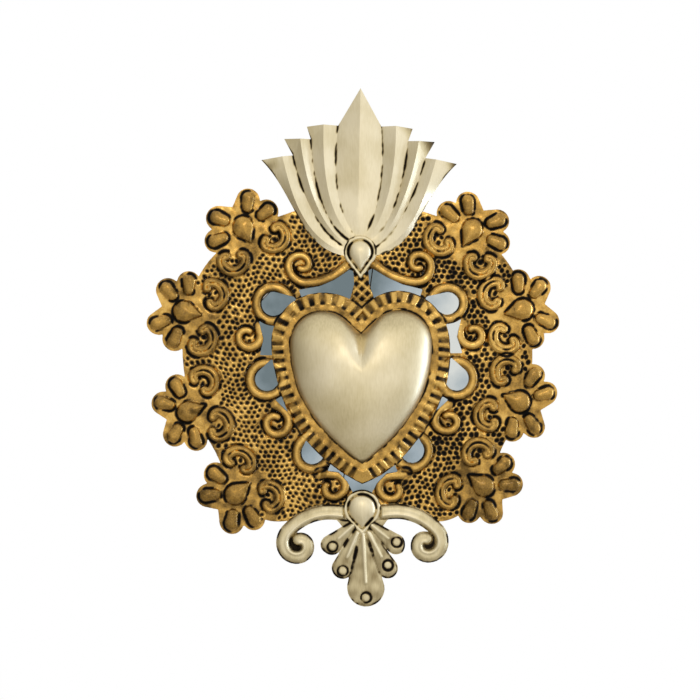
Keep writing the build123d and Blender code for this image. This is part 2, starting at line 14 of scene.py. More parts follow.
import bpy
import numpy as np
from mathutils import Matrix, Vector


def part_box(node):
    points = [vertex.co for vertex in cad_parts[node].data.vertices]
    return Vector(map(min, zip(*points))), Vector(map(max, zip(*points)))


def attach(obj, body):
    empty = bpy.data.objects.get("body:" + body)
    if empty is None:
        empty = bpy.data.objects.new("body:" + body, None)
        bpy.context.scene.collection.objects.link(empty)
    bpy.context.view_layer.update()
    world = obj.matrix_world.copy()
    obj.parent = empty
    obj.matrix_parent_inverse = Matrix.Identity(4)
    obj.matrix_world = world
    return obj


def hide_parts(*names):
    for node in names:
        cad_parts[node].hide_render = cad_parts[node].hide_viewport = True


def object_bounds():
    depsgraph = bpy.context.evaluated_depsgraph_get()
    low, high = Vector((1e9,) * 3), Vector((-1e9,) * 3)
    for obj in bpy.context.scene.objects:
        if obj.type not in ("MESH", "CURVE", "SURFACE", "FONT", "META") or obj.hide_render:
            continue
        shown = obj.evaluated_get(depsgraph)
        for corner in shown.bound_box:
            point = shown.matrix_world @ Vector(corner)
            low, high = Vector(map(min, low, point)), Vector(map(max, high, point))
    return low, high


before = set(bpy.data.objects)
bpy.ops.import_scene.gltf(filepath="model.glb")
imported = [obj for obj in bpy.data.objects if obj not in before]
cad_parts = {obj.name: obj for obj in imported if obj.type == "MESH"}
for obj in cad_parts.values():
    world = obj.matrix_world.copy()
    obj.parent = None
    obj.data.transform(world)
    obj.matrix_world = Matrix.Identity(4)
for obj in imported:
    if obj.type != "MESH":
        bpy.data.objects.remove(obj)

cad_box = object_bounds()
MM = 0.001

# %% [markdown]
# ## Camera
#
# The photograph looks straight at the wall, so the camera stands in front with a long lens,
# which keeps a flat thing free of distortion. The ornament hangs half a degree askew, and the
# camera rolls by that much instead, because the part itself stands upright in its own frame.

# %% Put the camera in front
VIEW_HEIGHT = 380.8 * MM
VIEW_MIDDLE = (-6.0 * MM, 6.5 * MM)
VIEW_DISTANCE = 1.5
VIEW_ROLL = math.radians(0.55)
SENSOR = 36.0

lens = bpy.data.cameras.new("front_camera")
lens.sensor_width = SENSOR
lens.lens = SENSOR * VIEW_DISTANCE / VIEW_HEIGHT
camera = bpy.data.objects.new("front_camera", lens)
camera.location = (VIEW_MIDDLE[0], -VIEW_DISTANCE, VIEW_MIDDLE[1])
camera.rotation_euler = (math.radians(90), VIEW_ROLL, 0)
bpy.context.scene.collection.objects.link(camera)
bpy.context.scene.camera = camera
print("lens", round(lens.lens, 1), "mm")

# %% [markdown]
# ## Colours and nodes
#
# Colours are written as sRGB hex values, as a colour picker shows them, and turned to the linear
# values that the shader works with. One small function adds a node, sets its fields and links or
# fills its inputs, so that each material below reads as a short list.


# %% Helpers for materials
def colour(code):
    """Linear RGBA from an sRGB hex value."""
    shares = [int(code[i:i + 2], 16) / 255 for i in (1, 3, 5)]
    return [s / 12.92 if s <= 0.04045 else ((s + 0.055) / 1.055) ** 2.4 for s in shares] + [1.0]


def add(tree, kind, inputs=None, stops=(), **fields):
    """A new node with fields set, inputs linked or filled, and a ramp's (place, hex) stops."""
    node = tree.nodes.new("ShaderNode" + kind)
    for name, value in fields.items():
        setattr(node, name, value)
    for name, value in (inputs or {}).items():
        if isinstance(value, bpy.types.NodeSocket):
            tree.links.new(value, node.inputs[name])
        else:
            node.inputs[name].default_value = value
    for number, (place, code) in enumerate(stops):
        keys = node.color_ramp.elements
        key = keys[number] if number < len(keys) else keys.new(1.0)
        key.position, key.color = place, colour(code)
    return node


def new_material(name):
    """An empty material with its shader and output, as (material, tree, shader)."""
    material = bpy.data.materials.new(name)
    material.use_nodes = True
    tree = material.node_tree
    return material, tree, tree.nodes["Principled BSDF"]


print("the grey #808080 is", round(colour("#808080")[0], 3), "in linear light")

# %% [markdown]
# ## Studio
#
# Polished tin shows its surroundings more than its own colour. The backdrop is white, and it falls
# off to grey on the left and below, where the room is darker. The camera, glossy rays and
# transmission rays all meet this same backdrop, so the metal shows it too, and the flanks of each
# boss that look to the lower left turn darker. Matt surfaces get the even light of a pale room.
# A tall, narrow lamp stands for a window on the right, which sets glints on the pressed gold and a
# cool sheen on the heart's side. A small one in front stands for the room's own lamp. Both are
# weak, so that the pale tin keeps its colour.

# %% World
BACKDROP = "#FFFFFF"
BACKDROP_SHADE = "#A5A29B"
ROOM = "#D2D0CB"
# A direction's share of this one decides its shade: white above one limit, grey below the other.
BRIGHT_SIDE = (0.9, 0.0, 0.35)
SHADE_FULL, SHADE_NONE = -0.85, -0.15

world = bpy.data.worlds.new("studio")
bpy.context.scene.world = world
world.use_nodes = True
tree = world.node_tree
tree.nodes.clear()
direction = add(tree, "TexCoord").outputs["Generated"]
rightward = add(tree, "VectorMath", {0: direction, 1: BRIGHT_SIDE}, operation="DOT_PRODUCT")
facing = add(tree, "MapRange", {"Value": rightward.outputs["Value"],
                                "From Min": SHADE_FULL, "From Max": SHADE_NONE})
backdrop = add(tree, "ValToRGB", {"Fac": facing.outputs["Result"]},
               ((0.0, BACKDROP_SHADE), (1.0, BACKDROP)))
paths = add(tree, "LightPath").outputs
seen = add(tree, "Math", {0: paths["Is Camera Ray"], 1: paths["Is Glossy Ray"]}, operation="MAXIMUM")
seen = add(tree, "Math", {0: seen.outputs[0], 1: paths["Is Transmission Ray"]}, operation="MAXIMUM")
sky = add(tree, "Mix", {"Factor": seen.outputs[0], "A": colour(ROOM), "B": backdrop.outputs["Color"]},
          data_type="RGBA")
background = add(tree, "Background", {"Color": sky.outputs["Result"], "Strength": 1.0})
add(tree, "OutputWorld", {"Surface": background.outputs[0]})
print("world nodes:", len(tree.nodes))


# %% Lamps
def soft_lamp(name, place, target, size, power, code):
    """A rectangular area lamp that looks at a target."""
    data = bpy.data.lights.new(name, "AREA")
    data.shape = "RECTANGLE"
    data.size, data.size_y = size
    data.energy = power
    data.color = colour(code)[:3]
    lamp = bpy.data.objects.new(name, data)
    lamp.location = place
    look = np.array(target) - np.array(place)
    lamp.rotation_euler = (
        math.atan2(math.hypot(look[0], look[1]), -look[2]), 0, math.atan2(-look[0], look[1]))
    bpy.context.scene.collection.objects.link(lamp)
    print(name, "of", power, "W")


soft_lamp("room_light", place=(0.06, -1.2, 0.36), target=(0, 0, 0), size=(0.3, 0.2),
          power=0.65, code="#FFF3E0")
soft_lamp("right_window", place=(0.72, -0.14, -0.02), target=(0, 0, 0), size=(0.08, 0.7),
          power=1.9, code="#C8DCFF")

# %% [markdown]
# ## Floor
#
# The ornament hangs on a wall, so the floor lies well below it and out of the photograph's
# frame. It is a large slab of pale matt paper. It shows in the metal's lower flanks, and it keeps
# a little of the ornament's shadow.

# %% Pale floor
FLOOR_DROP = 0.17
FLOOR_SIZE = 1.4
FLOOR_THICKNESS = 0.02

floor_mesh = bpy.data.meshes.new("floor")
half = FLOOR_SIZE / 2
corners = [(-half, -half), (half, -half), (half, half), (-half, half)]
rows = [(x, y, z) for z in (-FLOOR_THICKNESS, 0) for x, y in corners]
sides = [(i, (i + 1) % 4, 4 + (i + 1) % 4, 4 + i) for i in range(4)]
floor_mesh.from_pydata(rows, [], [(3, 2, 1, 0), (4, 5, 6, 7)] + sides)
floor = bpy.data.objects.new("floor", floor_mesh)
floor.location = (0, 0, cad_box[0][2] - FLOOR_DROP)
bpy.context.scene.collection.objects.link(floor)
# Uncoated paper: pale and quite matt, so that it lends light and shows no reflection.
paper, tree, shader = new_material("white_paper")
shader.inputs["Base Color"].default_value = colour("#ECEAE6")
shader.inputs["Roughness"].default_value = 0.9
floor_mesh.materials.append(paper)
print("floor at", round(floor.location.z, 3), "m")

# %% [markdown]
# ## Drawing on the sheet
#
# A tinsmith draws on the sheet, cuts it and presses it. The helpers do the same in millimetres
# on the bench, x to the right and y up. Each shape is a signed distance, positive inside, because
# one number then gives the cut edge, the height of a boss and the dark line that patina leaves
# at its foot. A slow random drift, made of a few waves, stands for the unsteadiness of the hand.


# %% Lines on the bench
def unit(angle):
    """A step of one in a direction, in radians."""
    return np.array((math.cos(angle), math.sin(angle)))


def ramp(value, start, end):
    """0 at the start, 1 at the end, straight between them and level outside."""
    return np.clip((value - start) / (end - start), 0, 1)


def to_line(points, line):
    """Distance to a chain of straight runs, and the distance along it."""
    best = np.full(len(points), np.inf)
    along = np.zeros(len(points))
    passed = 0.0
    for start, end in zip(line, line[1:]):
        run = end - start
        length = math.hypot(*run)
        offset = points - start
        share = np.clip(offset @ run / length ** 2, 0, 1)
        gap = np.hypot(*(offset - share[:, None] * run).T)
        closer = gap < best
        best[closer] = gap[closer]
        along[closer] = passed + share[closer] * length
        passed += length
    return best, along


def arcs(start, heading, turns, pitch=0.5):
    """Points along tangent arcs, each given as a radius and a turn in degrees."""
    line = [np.array(start, float)]
    angle = math.radians(heading)
    for radius, turn in turns:
        steps = max(2, math.ceil(radius * abs(math.radians(turn)) / pitch))
        bend = math.radians(turn) / steps
        chord = 2 * radius * math.sin(abs(bend) / 2)
        for _ in range(steps):
            line.append(line[-1] + chord * unit(angle + bend / 2))
            angle += bend
    return np.array(line)


print("a half circle of 5 mm takes", len(arcs((0, 0), 0, ((5, 180),))), "points")


# %% Shapes as distances
def in_outline(points, outline):
    """Signed distance to a closed outline."""
    closed = np.vstack((outline, outline[:1]))
    odd = np.zeros(len(points), bool)
    for (x0, y0), (x1, y1) in zip(closed, closed[1:]):
        if y0 != y1:
            level = (y0 > points[:, 1]) != (y1 > points[:, 1])
            odd ^= level & (points[:, 0] < x0 + (x1 - x0) * (points[:, 1] - y0) / (y1 - y0))
    return np.where(odd, 1, -1) * to_line(points, closed)[0]


def in_pod(points, start, end, near, far):
    """Signed distance to a round-ended shape that tapers from one radius to another."""
    start, end = np.array(start, float), np.array(end, float)
    length = math.hypot(*(end - start))
    along = (end - start) / length
    offset = points - start
    u = offset @ along
    v = np.abs(offset @ np.array((-along[1], along[0])))
    slope = (near - far) / length
    lean = math.sqrt(1 - slope * slope)
    side = lean * u - slope * v
    gap = lean * v + slope * u - near
    gap = np.where(side < 0, np.hypot(u, v) - near, gap)
    gap = np.where(side > lean * length, np.hypot(u - length, v) - far, gap)
    return -gap


def half_round(depth, radius):
    """0 at the edge of a boss and 1 at its middle, like a quarter circle."""
    share = np.clip(depth / radius, 0, 1)
    return np.sqrt(share * (2 - share))


middle = in_pod(np.zeros((1, 2)), (0, 0), (8, 0), 3, 2)[0]
print("the middle of a pod of 3 mm lies", middle, "mm inside it")

# %% The unsteady hand
DRIFT_WAVES = 7
DRIFT_LENGTHS = (1.4, 3.0)


def drift(points, size, seed):
    """A smooth random field, mostly within -1 to 1, that changes over a size in millimetres."""
    rng = np.random.default_rng(seed)
    total = np.zeros(len(points))
    for _ in range(DRIFT_WAVES):
        wave = 2 * math.pi / (size * rng.uniform(*DRIFT_LENGTHS))
        heading = rng.uniform(0, 2 * math.pi)
        phase = rng.uniform(0, 2 * math.pi)
        total += np.sin(points @ unit(heading) * wave + phase)
    return total / math.sqrt(DRIFT_WAVES)


print("drift of", DRIFT_WAVES, "waves")

# %% [markdown]
# ## Pressing a sheet
#
# The sheet starts flat. A punch swells it from behind, and a chasing tool draws a line round the
# swelling from the front. Each of these is one call on a Relief, which keeps a height and a tone
# for every point: tone 0 is clean lacquer and tone 1 is black patina. The mesh itself is an even
# grid of small quads that is cut exactly along the outline, then given its thickness, because a
# grid takes any relief without stretching.

# %% The relief of a sheet
CHASE_WIDTH = 0.5
CHASE_DEPTH = 0.35
WEAR_PATCH, WEAR_SPECK, SPECK_SHARE = 6, 1.8, 0.3
WIDTH_CHANGE, WIDTH_LIMITS = 0.3, (0.5, 1.5)


class Relief:
    """Heights and tones of a pressed sheet at its points, in millimetres."""

    def __init__(self, points, level, tone=0.0):
        self.points = points
        self.level = level
        self.height = np.full(len(points), float(level))
        self.tone = np.full(len(points), float(tone))
        self.plain = np.zeros(len(points), bool)

    def near(self, centre, reach):
        """The points in a square round a centre."""
        return np.flatnonzero(np.all(np.abs(self.points - centre) < reach, axis=1))

    def swell(self, which, depth, radius, rise, margin=1.0):
        """Presses a boss out from behind, and keeps dots off it by a margin."""
        boss = self.level + rise * half_round(depth, radius)
        self.height[which] = np.maximum(self.height[which], boss)
        self.plain[which] |= depth > -margin

    def line(self, which, gap, width=CHASE_WIDTH, depth=CHASE_DEPTH, tone=1.0, cover=0.75):
        """Chases a line where gap is 0, with patina that covers it but for the worn places."""
        spots = self.points[which]
        worn = drift(spots, WEAR_PATCH, 11) + SPECK_SHARE * drift(spots, WEAR_SPECK, 12)
        mark = np.exp(-(gap / (width * np.clip(1 + WIDTH_CHANGE * worn, *WIDTH_LIMITS))) ** 2)
        rubbed = np.clip(cover + worn, 0, 1)
        self.height[which] -= depth * mark
        self.tone[which] = np.maximum(self.tone[which], np.minimum(tone * mark * rubbed, 1))

    def shade(self, which, amount):
        """Leaves a brown glaze of patina."""
        self.tone[which] = np.maximum(self.tone[which], amount)

    def rub(self, which, share):
        """Wipes the patina off a crest."""
        self.tone[which] *= 1 - share


print("a chased line is", CHASE_WIDTH, "mm wide and", CHASE_DEPTH, "mm deep")

# %% Cut a grid along an outline
# A grid point nearer to the cut than this share of a step counts as inside, so no sliver is left.
SNAP = 0.12


def cut_grid(edge, low, high, step):
    """Points and faces of an even grid, cut along the line where edge is 0."""
    xs = np.arange(low[0], high[0] + step, step)
    ys = np.arange(low[1], high[1] + step, step)
    grid = np.stack(np.meshgrid(xs, ys), axis=-1)
    depth = edge(grid.reshape(-1, 2)).reshape(grid.shape[:2])
    depth = np.where(np.abs(depth) < SNAP * step, SNAP * step, depth)
    kept = depth > 0
    points = [grid[kept]]
    corner = np.full(kept.shape, -1)
    corner[kept] = np.arange(kept.sum())
    count = kept.sum()
    crossings = []
    for first, second in ((np.s_[:, :-1], np.s_[:, 1:]), (np.s_[:-1, :], np.s_[1:, :])):
        cut = kept[first] != kept[second]
        share = (depth[first][cut] / (depth[first][cut] - depth[second][cut]))[:, None]
        points.append(grid[first][cut] * (1 - share) + grid[second][cut] * share)
        index = np.full(cut.shape, -1)
        index[cut] = count + np.arange(cut.sum())
        count += cut.sum()
        crossings.append(index)
    across, up = crossings
    ring = np.stack((
        corner[:-1, :-1], across[:-1, :], corner[:-1, 1:], up[:, 1:],
        corner[1:, 1:], across[1:, :], corner[1:, :-1], up[:, :-1]), axis=-1)
    ring = ring[np.any(ring >= 0, axis=-1)]
    faces = [[i for i in cell if i >= 0] for cell in ring.tolist()]
    return np.vstack(points), [face for face in faces if len(face) > 2]


sample = cut_grid(lambda spots: 3 - np.hypot(*spots.T), (-4, -4), (4, 4), 1.0)
print("a disc of 3 mm on a 1 mm grid has", len(sample[1]), "faces")

# %% From grid to sheet
TIN = 0.5
# The back of a sheet is not lacquered, and only this share of the front's patina reaches it.
BACK_PATINA = 0.2


def stand_up(points, height):
    """Bench millimetres to metres on the wall: the height comes forward, towards -Y."""
    return np.column_stack((points[:, 0], -height, points[:, 1])) * MM


def make_sheet(name, points, height, faces, tone, lowest, finishes, fold=50):
    """One closed mesh of front, back and cut edge.

    The back never goes below the lowest height, and edges above the fold angle are sharp.
    """
    count = len(points)
    steps = {(a, b) for face in faces for a, b in zip(face, face[1:] + face[:1])}
    rim = sorted(step for step in steps if step[::-1] not in steps)
    back = [[i + count for i in reversed(face)] for face in faces]
    walls = [[b, a, a + count, b + count] for a, b in rim]
    mesh = bpy.data.meshes.new(name)
    behind = np.maximum(height - TIN, lowest)
    vertices = np.vstack((stand_up(points, height), stand_up(points, behind)))
    mesh.from_pydata(vertices.tolist(), [], faces + back + walls)
    for finish in finishes:
        mesh.materials.append(finish)
    sides = np.repeat((0, 1, 0), (len(faces), len(back), len(walls)))
    mesh.polygons.foreach_set("material_index", sides.astype(np.int32))
    patina = mesh.attributes.new("patina", "FLOAT", "POINT")
    patina.data.foreach_set("value", np.append(tone, BACK_PATINA * tone).astype(np.float32))
    mesh.shade_smooth()
    mesh.set_sharp_from_angle(angle=math.radians(fold))
    piece = bpy.data.objects.new(name, mesh)
    bpy.context.scene.collection.objects.link(piece)
    print(name, "points", len(vertices), "faces", len(mesh.polygons))
    return piece


def fix(piece, node):
    """The piece stands for its node, which is hidden, and moves with the ornament."""
    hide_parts(node)
    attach(piece, "ornament")


print("sheets are", TIN, "mm thick")

# %% [markdown]
# ## Gold lacquer on tin
#
# The frame is tinplate under gold lacquer: a metal seen through a thin amber coat, so it is
# metallic, warm and only half sharp. Black patina was brushed on and wiped off, so it stays in
# the punched dots and along the chased lines, where it is matt and not metallic. The tone that the
# relief keeps drives the colour, and a slow noise varies the lacquer. All the metals here come from
# one function, because they differ only in colour, gloss and grain.

# %% Metal under lacquer and patina
PATINA_FROM, PATINA_TO = 0.5, 0.9
PATINA_METALLIC, PATINA_SPECULAR, TIN_SPECULAR = 0.1, 0.08, 0.5
GLOSS_FROM, GLOSS_TO = 0.3, 0.7
LACQUER_ROUGHNESS = 0.12
CLOUD_FROM, CLOUD_TO = 0.3, 0.7
GRAIN_FROM, GRAIN_TO, GRAIN_STAIN, GRAIN_DEPTH = 0.35, 0.65, 0.5, 0.1


def metal_finish(name, stops, roughness, patch, grain, bump, stain, streak=(1, 1, 1), lacquer=0.0):
    """A metal, lacquered or bare, whose colour follows the patina and drifts over patches."""
    material, tree, shader = new_material(name)
    place = add(tree, "TexCoord").outputs["Object"]
    patina = add(tree, "Attribute", attribute_name="patina").outputs["Fac"]
    slow = add(tree, "TexNoise", {"Vector": place, "Scale": 1 / (patch * MM), "Detail": 3.0})
    lines = add(tree, "Mapping", {"Vector": place, "Scale": streak})
    fine = add(tree, "TexNoise", {"Vector": lines.outputs[0], "Scale": 1 / (grain * MM),
                                  "Detail": 4.0})
    cloud = add(tree, "MapRange", {"Value": slow.outputs["Fac"], "From Min": CLOUD_FROM,
                                   "From Max": CLOUD_TO, "To Min": -stain, "To Max": stain})
    speck = add(tree, "MapRange", {"Value": fine.outputs["Fac"], "From Min": GRAIN_FROM,
                                   "From Max": GRAIN_TO, "To Min": -GRAIN_STAIN * stain,
                                   "To Max": GRAIN_STAIN * stain})
    tone = add(tree, "Math", {0: patina, 1: cloud.outputs["Result"]}, operation="ADD")
    tone = add(tree, "Math", {0: tone.outputs[0], 1: speck.outputs["Result"]},
               operation="ADD", use_clamp=True).outputs[0]
    tint = add(tree, "ValToRGB", {"Fac": tone}, stops)
    tree.links.new(tint.outputs["Color"], shader.inputs["Base Color"])
    dull = add(tree, "MapRange", {"Value": tone, "To Min": roughness[0], "To Max": roughness[1]})
    tree.links.new(dull.outputs["Result"], shader.inputs["Roughness"])
    metal = add(tree, "MapRange", {"Value": tone, "From Min": PATINA_FROM, "From Max": PATINA_TO,
                                   "To Min": 1.0, "To Max": PATINA_METALLIC})
    tree.links.new(metal.outputs["Result"], shader.inputs["Metallic"])
    dry = add(tree, "MapRange", {"Value": tone, "From Min": PATINA_FROM, "From Max": PATINA_TO,
                                 "To Min": TIN_SPECULAR, "To Max": PATINA_SPECULAR})
    tree.links.new(dry.outputs["Result"], shader.inputs["Specular IOR Level"])
    if lacquer:
        clear = add(tree, "MapRange", {"Value": tone, "From Min": GLOSS_FROM, "From Max": GLOSS_TO,
                                       "To Min": lacquer, "To Max": 0.0})
        tree.links.new(clear.outputs["Result"], shader.inputs["Coat Weight"])
        shader.inputs["Coat Roughness"].default_value = LACQUER_ROUGHNESS
    relief = add(tree, "Bump", {"Height": fine.outputs["Fac"], "Strength": bump,
                                "Distance": GRAIN_DEPTH * MM})
    tree.links.new(relief.outputs[0], shader.inputs["Normal"])
    print(name, "has", len(tree.nodes), "nodes")
    return material


# %% Gold-lacquered tinplate
GOLD_STOPS = (
    (0.0, "#DDB15A"), (0.18, "#B88D3C"), (0.42, "#745720"), (0.7, "#291D0B"), (1.0, "#080604"),
)
LACQUER_PATCH = 14.0
# The skin of real lacquer is finer than a pixel, so its grain is drawn coarser to show.
LACQUER_GRAIN = 0.8

# Gold lacquer on tin: warm, bright on the crests and softly glossy, with matt black in the marks.
gold = metal_finish("gold_lacquered_tinplate", GOLD_STOPS, roughness=(0.22, 0.6), patch=LACQUER_PATCH,
                    grain=LACQUER_GRAIN, bump=0.3, stain=0.12, lacquer=0.55)

# %% [markdown]
# ## Bare tinplate
#
# Behind, nobody lacquers the sheet. Bare tinplate is steel with a thin coat of tin, which has
# dulled to a soft grey with faint stains. The same function makes it, without the clear coat.

# %% Dulled tinplate
TIN_STOPS = ((0.0, "#B9B8B2"), (0.3, "#93918A"), (0.7, "#5E5B55"), (1.0, "#2A2825"))
TIN_PATCH = 22.0
# The crystals of the tin are drawn at about a millimetre, because finer ones would not show.
TIN_GRAIN = 1.2

# Dulled tinplate: a soft grey without clear reflections, a little cloudy.
tinplate = metal_finish("dulled_tinplate", TIN_STOPS, roughness=(0.42, 0.8), patch=TIN_PATCH,
                        grain=TIN_GRAIN, bump=0.2, stain=0.08)

# %% [markdown]
# ## The gold sheet
#
# The ground is one plate, pierced by teardrop loops and slim gaps round the heart. Eight flowers
# stand round its edge. The sizes below are mostly the model's own, in millimetres on the bench.
# The loops' holes are 0.6 mm tighter, as their rolled bands leave them. A slight wobble keeps the
# halves from being perfect mirror images, as hand work never is.

# %% Sizes of the plate and its flowers
SHEET_BACK = -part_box("frame_sheet")[1].y / MM
GROUND = SHEET_BACK + TIN
OVERLAY = GROUND + TIN
RING_X = -2.2
# Degrees from the top, and the radius of the plate there.
GROUND_EDGE = (
    (0, 90.3), (24, 89.2), (56, 97.4), (90, 94.7), (120, 90.8), (150, 99.0), (165, 85.4), (180, 80.5),
)
# Where each flower stands, and the direction in degrees in which it points.
FLOWERS = (
    (60.0, 69.5, 58), (86.5, 27.0, 14), (84.5, -22.0, -22), (65.0, -67.5, -35),
    (-63.0, 72.0, 119), (-94.5, 28.0, 165), (-92.5, -25.5, 200), (-67.5, -70.5, 220),
)
FLOWER_BODY = 11.0
PETAL_ANGLES = (-80, -36, 36, 80)
PETAL_REACH, PETAL_LENGTH, PETAL_WIDTH, PETAL_RISE = 14.8, 11.8, 7.4, 2.2
PETAL_EDGE, PETAL_LOBE = 1.6, 12.8
print("ground", round(GROUND, 2), "mm from the wall, flowers:", len(FLOWERS))

# %% Sizes of the piercings and the heart
# Each loop is a round hole with a nib: the middle of the one and the end of the other.
LOOPS = (((47.1, 31.8), (37.3, 33.5)), ((51.4, -9.2), (48.1, -0.5)), ((26.9, -48.7), (26.9, -39.4)))
LOOP_HOLE, LOOP_NIB, LOOP_BAND, LOOP_RISE = 6.3, 2.2, 5.4, 1.6
SLIVERS = (
    ((55.0, 22.8), (52.6, 13.0), (55.0, 4.0), (40.0, 4.0), (40.0, 22.8)),
    ((46.8, -20.4), (40.4, -26.9), (34.8, -36.2), (28.0, -34.0), (36.0, -14.0)),
    ((18.8, -59.3), (12.8, -60.2), (8.0, -65.3), (4.5, -72.0),
     (-1.0, -72.0), (-1.0, -50.0), (14.0, -48.0)),
    ((33.5, 39.2), (22.6, 41.4), (14.4, 45.0), (6.3, 50.0), (4.1, 49.0), (4.1, 28.0), (30.0, 28.0)),
)
NECK = ((4.1, 42.0), (7.0, 33.0), (0.0, 27.0), (-7.0, 33.0), (-4.1, 42.0))
LOBE_X, LOBE_Y, LOBE_RADIUS, SIDE_RADIUS, NOTCH_ANGLE = 20.6, 10.0, 17.9, 74.5, 133.0
SIDE_X = LOBE_X + LOBE_RADIUS - SIDE_RADIUS
HEART_POINTS = 60
BORDER_WIDTH, BORDER_RISE, BORDER_LIP = 10.0, 2.2, 1.0
print("piercings on each side:", len(LOOPS) + len(SLIVERS))

# %% Outline of the heart
# The share of its width that the dome loses at its lower sides, and the heights where that starts
# and is full.
DRAWN_IN, DRAWN_FROM, DRAWN_TO = 0.13, -14.0, -48.0
# Outside this zone the outline is not searched, because the border doesn't reach so far.
HEART_ZONE_X, HEART_ZONE_LOW, HEART_ZONE_HIGH, FAR_OFF = 54, -66, 45, -40.0


def heart_line(notch=NOTCH_ANGLE):
    """The heart's outline, counter-clockwise from its tip."""
    tip = -math.acos(-SIDE_X / SIDE_RADIUS)
    lean = math.radians(notch)
    long_side = [(SIDE_X + SIDE_RADIUS * math.cos(a), LOBE_Y + SIDE_RADIUS * math.sin(a))
                 for a in np.linspace(tip, 0, HEART_POINTS)]
    crown = [(LOBE_X + LOBE_RADIUS * math.cos(a), LOBE_Y + LOBE_RADIUS * math.sin(a))
             for a in np.linspace(0, lean, HEART_POINTS)]
    notch_y = LOBE_Y + (LOBE_RADIUS + LOBE_X * math.cos(lean)) / math.sin(lean)
    descent = np.linspace(crown[-1], (0, notch_y), HEART_POINTS // 4)
    right = np.vstack((long_side, crown[1:], descent[1:]))
    return np.vstack((right, (right * (-1, 1))[-2:0:-1]))


def side_share(y):
    """How much of the outline's width the dome's lower sides keep, after the hand drew them in."""
    return 1 - DRAWN_IN * ramp(y, DRAWN_FROM, DRAWN_TO) ** 2


def in_heart(points):
    """Signed distance to the heart's outline and the distance along it, far off where it is far."""
    x, y = points.T
    depth = np.full(len(points), FAR_OFF)
    along = np.zeros(len(points))
    close = np.flatnonzero((np.abs(x) < HEART_ZONE_X) & (y > HEART_ZONE_LOW) & (y < HEART_ZONE_HIGH))
    line = heart_line()
    depth[close] = in_outline(points[close], line)
    low = np.flatnonzero(y < LOBE_Y)
    depth[low] = SIDE_RADIUS - np.hypot(np.abs(x[low]) - SIDE_X, y[low] - LOBE_Y)
    along[close] = to_line(points[close], np.vstack((line, line[:1])))[1]
    return depth, along


print("heart", np.ptp(heart_line(), axis=0).round(1), "mm")

# %% Edge of the gold sheet
WOBBLE, WOBBLE_SIZE = 0.45, 30


def wobbled(points):
    """Points as the hand would have placed them."""
    stray = np.column_stack((drift(points, WOBBLE_SIZE, 1), drift(points, WOBBLE_SIZE, 2)))
    return points + WOBBLE * stray


def folded(points):
    """Points of both halves, laid on the right one."""
    return np.column_stack((np.abs(points[:, 0]), points[:, 1]))


def in_ground(points):
    """Signed distance to the plate's own edge, which is a smooth curve through its radii."""
    offset = points - (RING_X, 0)
    radius = np.hypot(*offset.T)
    angle = np.degrees(np.abs(np.arctan2(offset[:, 0], offset[:, 1])))
    knots, radii = np.array(GROUND_EDGE, float).T
    slopes = np.gradient(radii, knots)
    slopes[[0, -1]] = 0
    i = np.clip(np.searchsorted(knots, angle) - 1, 0, len(knots) - 2)
    gap = knots[i + 1] - knots[i]
    t = (angle - knots[i]) / gap
    smooth = t * t * (3 - 2 * t)
    edge = radii[i] * (1 - smooth) + radii[i + 1] * smooth
    edge += gap * t * (1 - t) * (slopes[i] * (1 - t) - slopes[i + 1] * t)
    return edge - radius


def on_flower(points, place):
    """Points as seen from a flower, its own x outwards."""
    x, y, heading = place
    out = unit(math.radians(heading))
    offset = points - (x, y)
    return np.column_stack((offset @ out, offset @ np.array((-out[1], out[0]))))


def frame_edge(points):
    """Signed distance to the cut edge of the gold sheet."""
    points = wobbled(points)
    right = folded(points)
    depth = in_ground(points)
    reach = PETAL_REACH + PETAL_LENGTH / 2 + PETAL_EDGE - PETAL_LOBE / 2
    for place in FLOWERS:
        local = on_flower(points, place)
        for angle in PETAL_ANGLES:
            tip = reach * unit(math.radians(angle))
            depth = np.maximum(depth, in_pod(local, (0, 0), tip, FLOWER_BODY, PETAL_LOBE / 2))
    for sliver in SLIVERS:
        depth = np.minimum(depth, -in_outline(right, np.array(sliver)))
    for centre, _ in LOOPS:
        depth = np.maximum(depth, LOOP_HOLE + LOOP_BAND - np.hypot(*(right - centre).T))
    for centre, nib in LOOPS:
        depth = np.minimum(depth, -in_pod(right, centre, nib, LOOP_HOLE, LOOP_NIB))
    depth = np.maximum(depth, in_heart(points)[0] + BORDER_WIDTH)
    return np.maximum(depth, in_outline(points, np.array(NECK)))


print("tin above the heart is", frame_edge(np.array(((0.0, 60.0),)))[0].round(1), "mm from a cut")

# %% [markdown]
# ### Flowers, scrolls and border
#
# A flower is four petals round a teardrop, with a C-shaped scroll on each side. The bosses are
# pressed from behind and outlined from the front. Flutes run across the slope of the heart's
# border, and the neck above the notch has a small lattice. The same few strokes of the Relief
# make them all, as a tinsmith makes them with a few punches.

# %% Press a band or a petal
GLAZE = 0.27
FLANK_GLAZE, FOOT_GLAZE = 0.8, 0.6
BAND_ROUND, BAND_GLAZE_EDGE, PETAL_GLAZE_EDGE = 0.8, 0.6, 0.8
CREST_RUB, CREST_WIDTH = 0.8, 0.8
# The chased outline runs this far outside the foot of a boss.
FOOT_GAP = 0.3


def press_band(sheet, which, gap, width, rise):
    """A raised band: glazed flanks, a crest that is rubbed bright and a black line at its foot."""
    sheet.swell(which, width - gap, BAND_ROUND * width, rise)
    flank = FLANK_GLAZE + FOOT_GLAZE * gap / width
    sheet.shade(which, GLAZE * ramp(width - gap, 0, BAND_GLAZE_EDGE) * flank)
    sheet.rub(which, CREST_RUB * np.exp(-(gap / CREST_WIDTH) ** 2))
    sheet.line(which, width - gap + FOOT_GAP, width=0.7, tone=1.3)


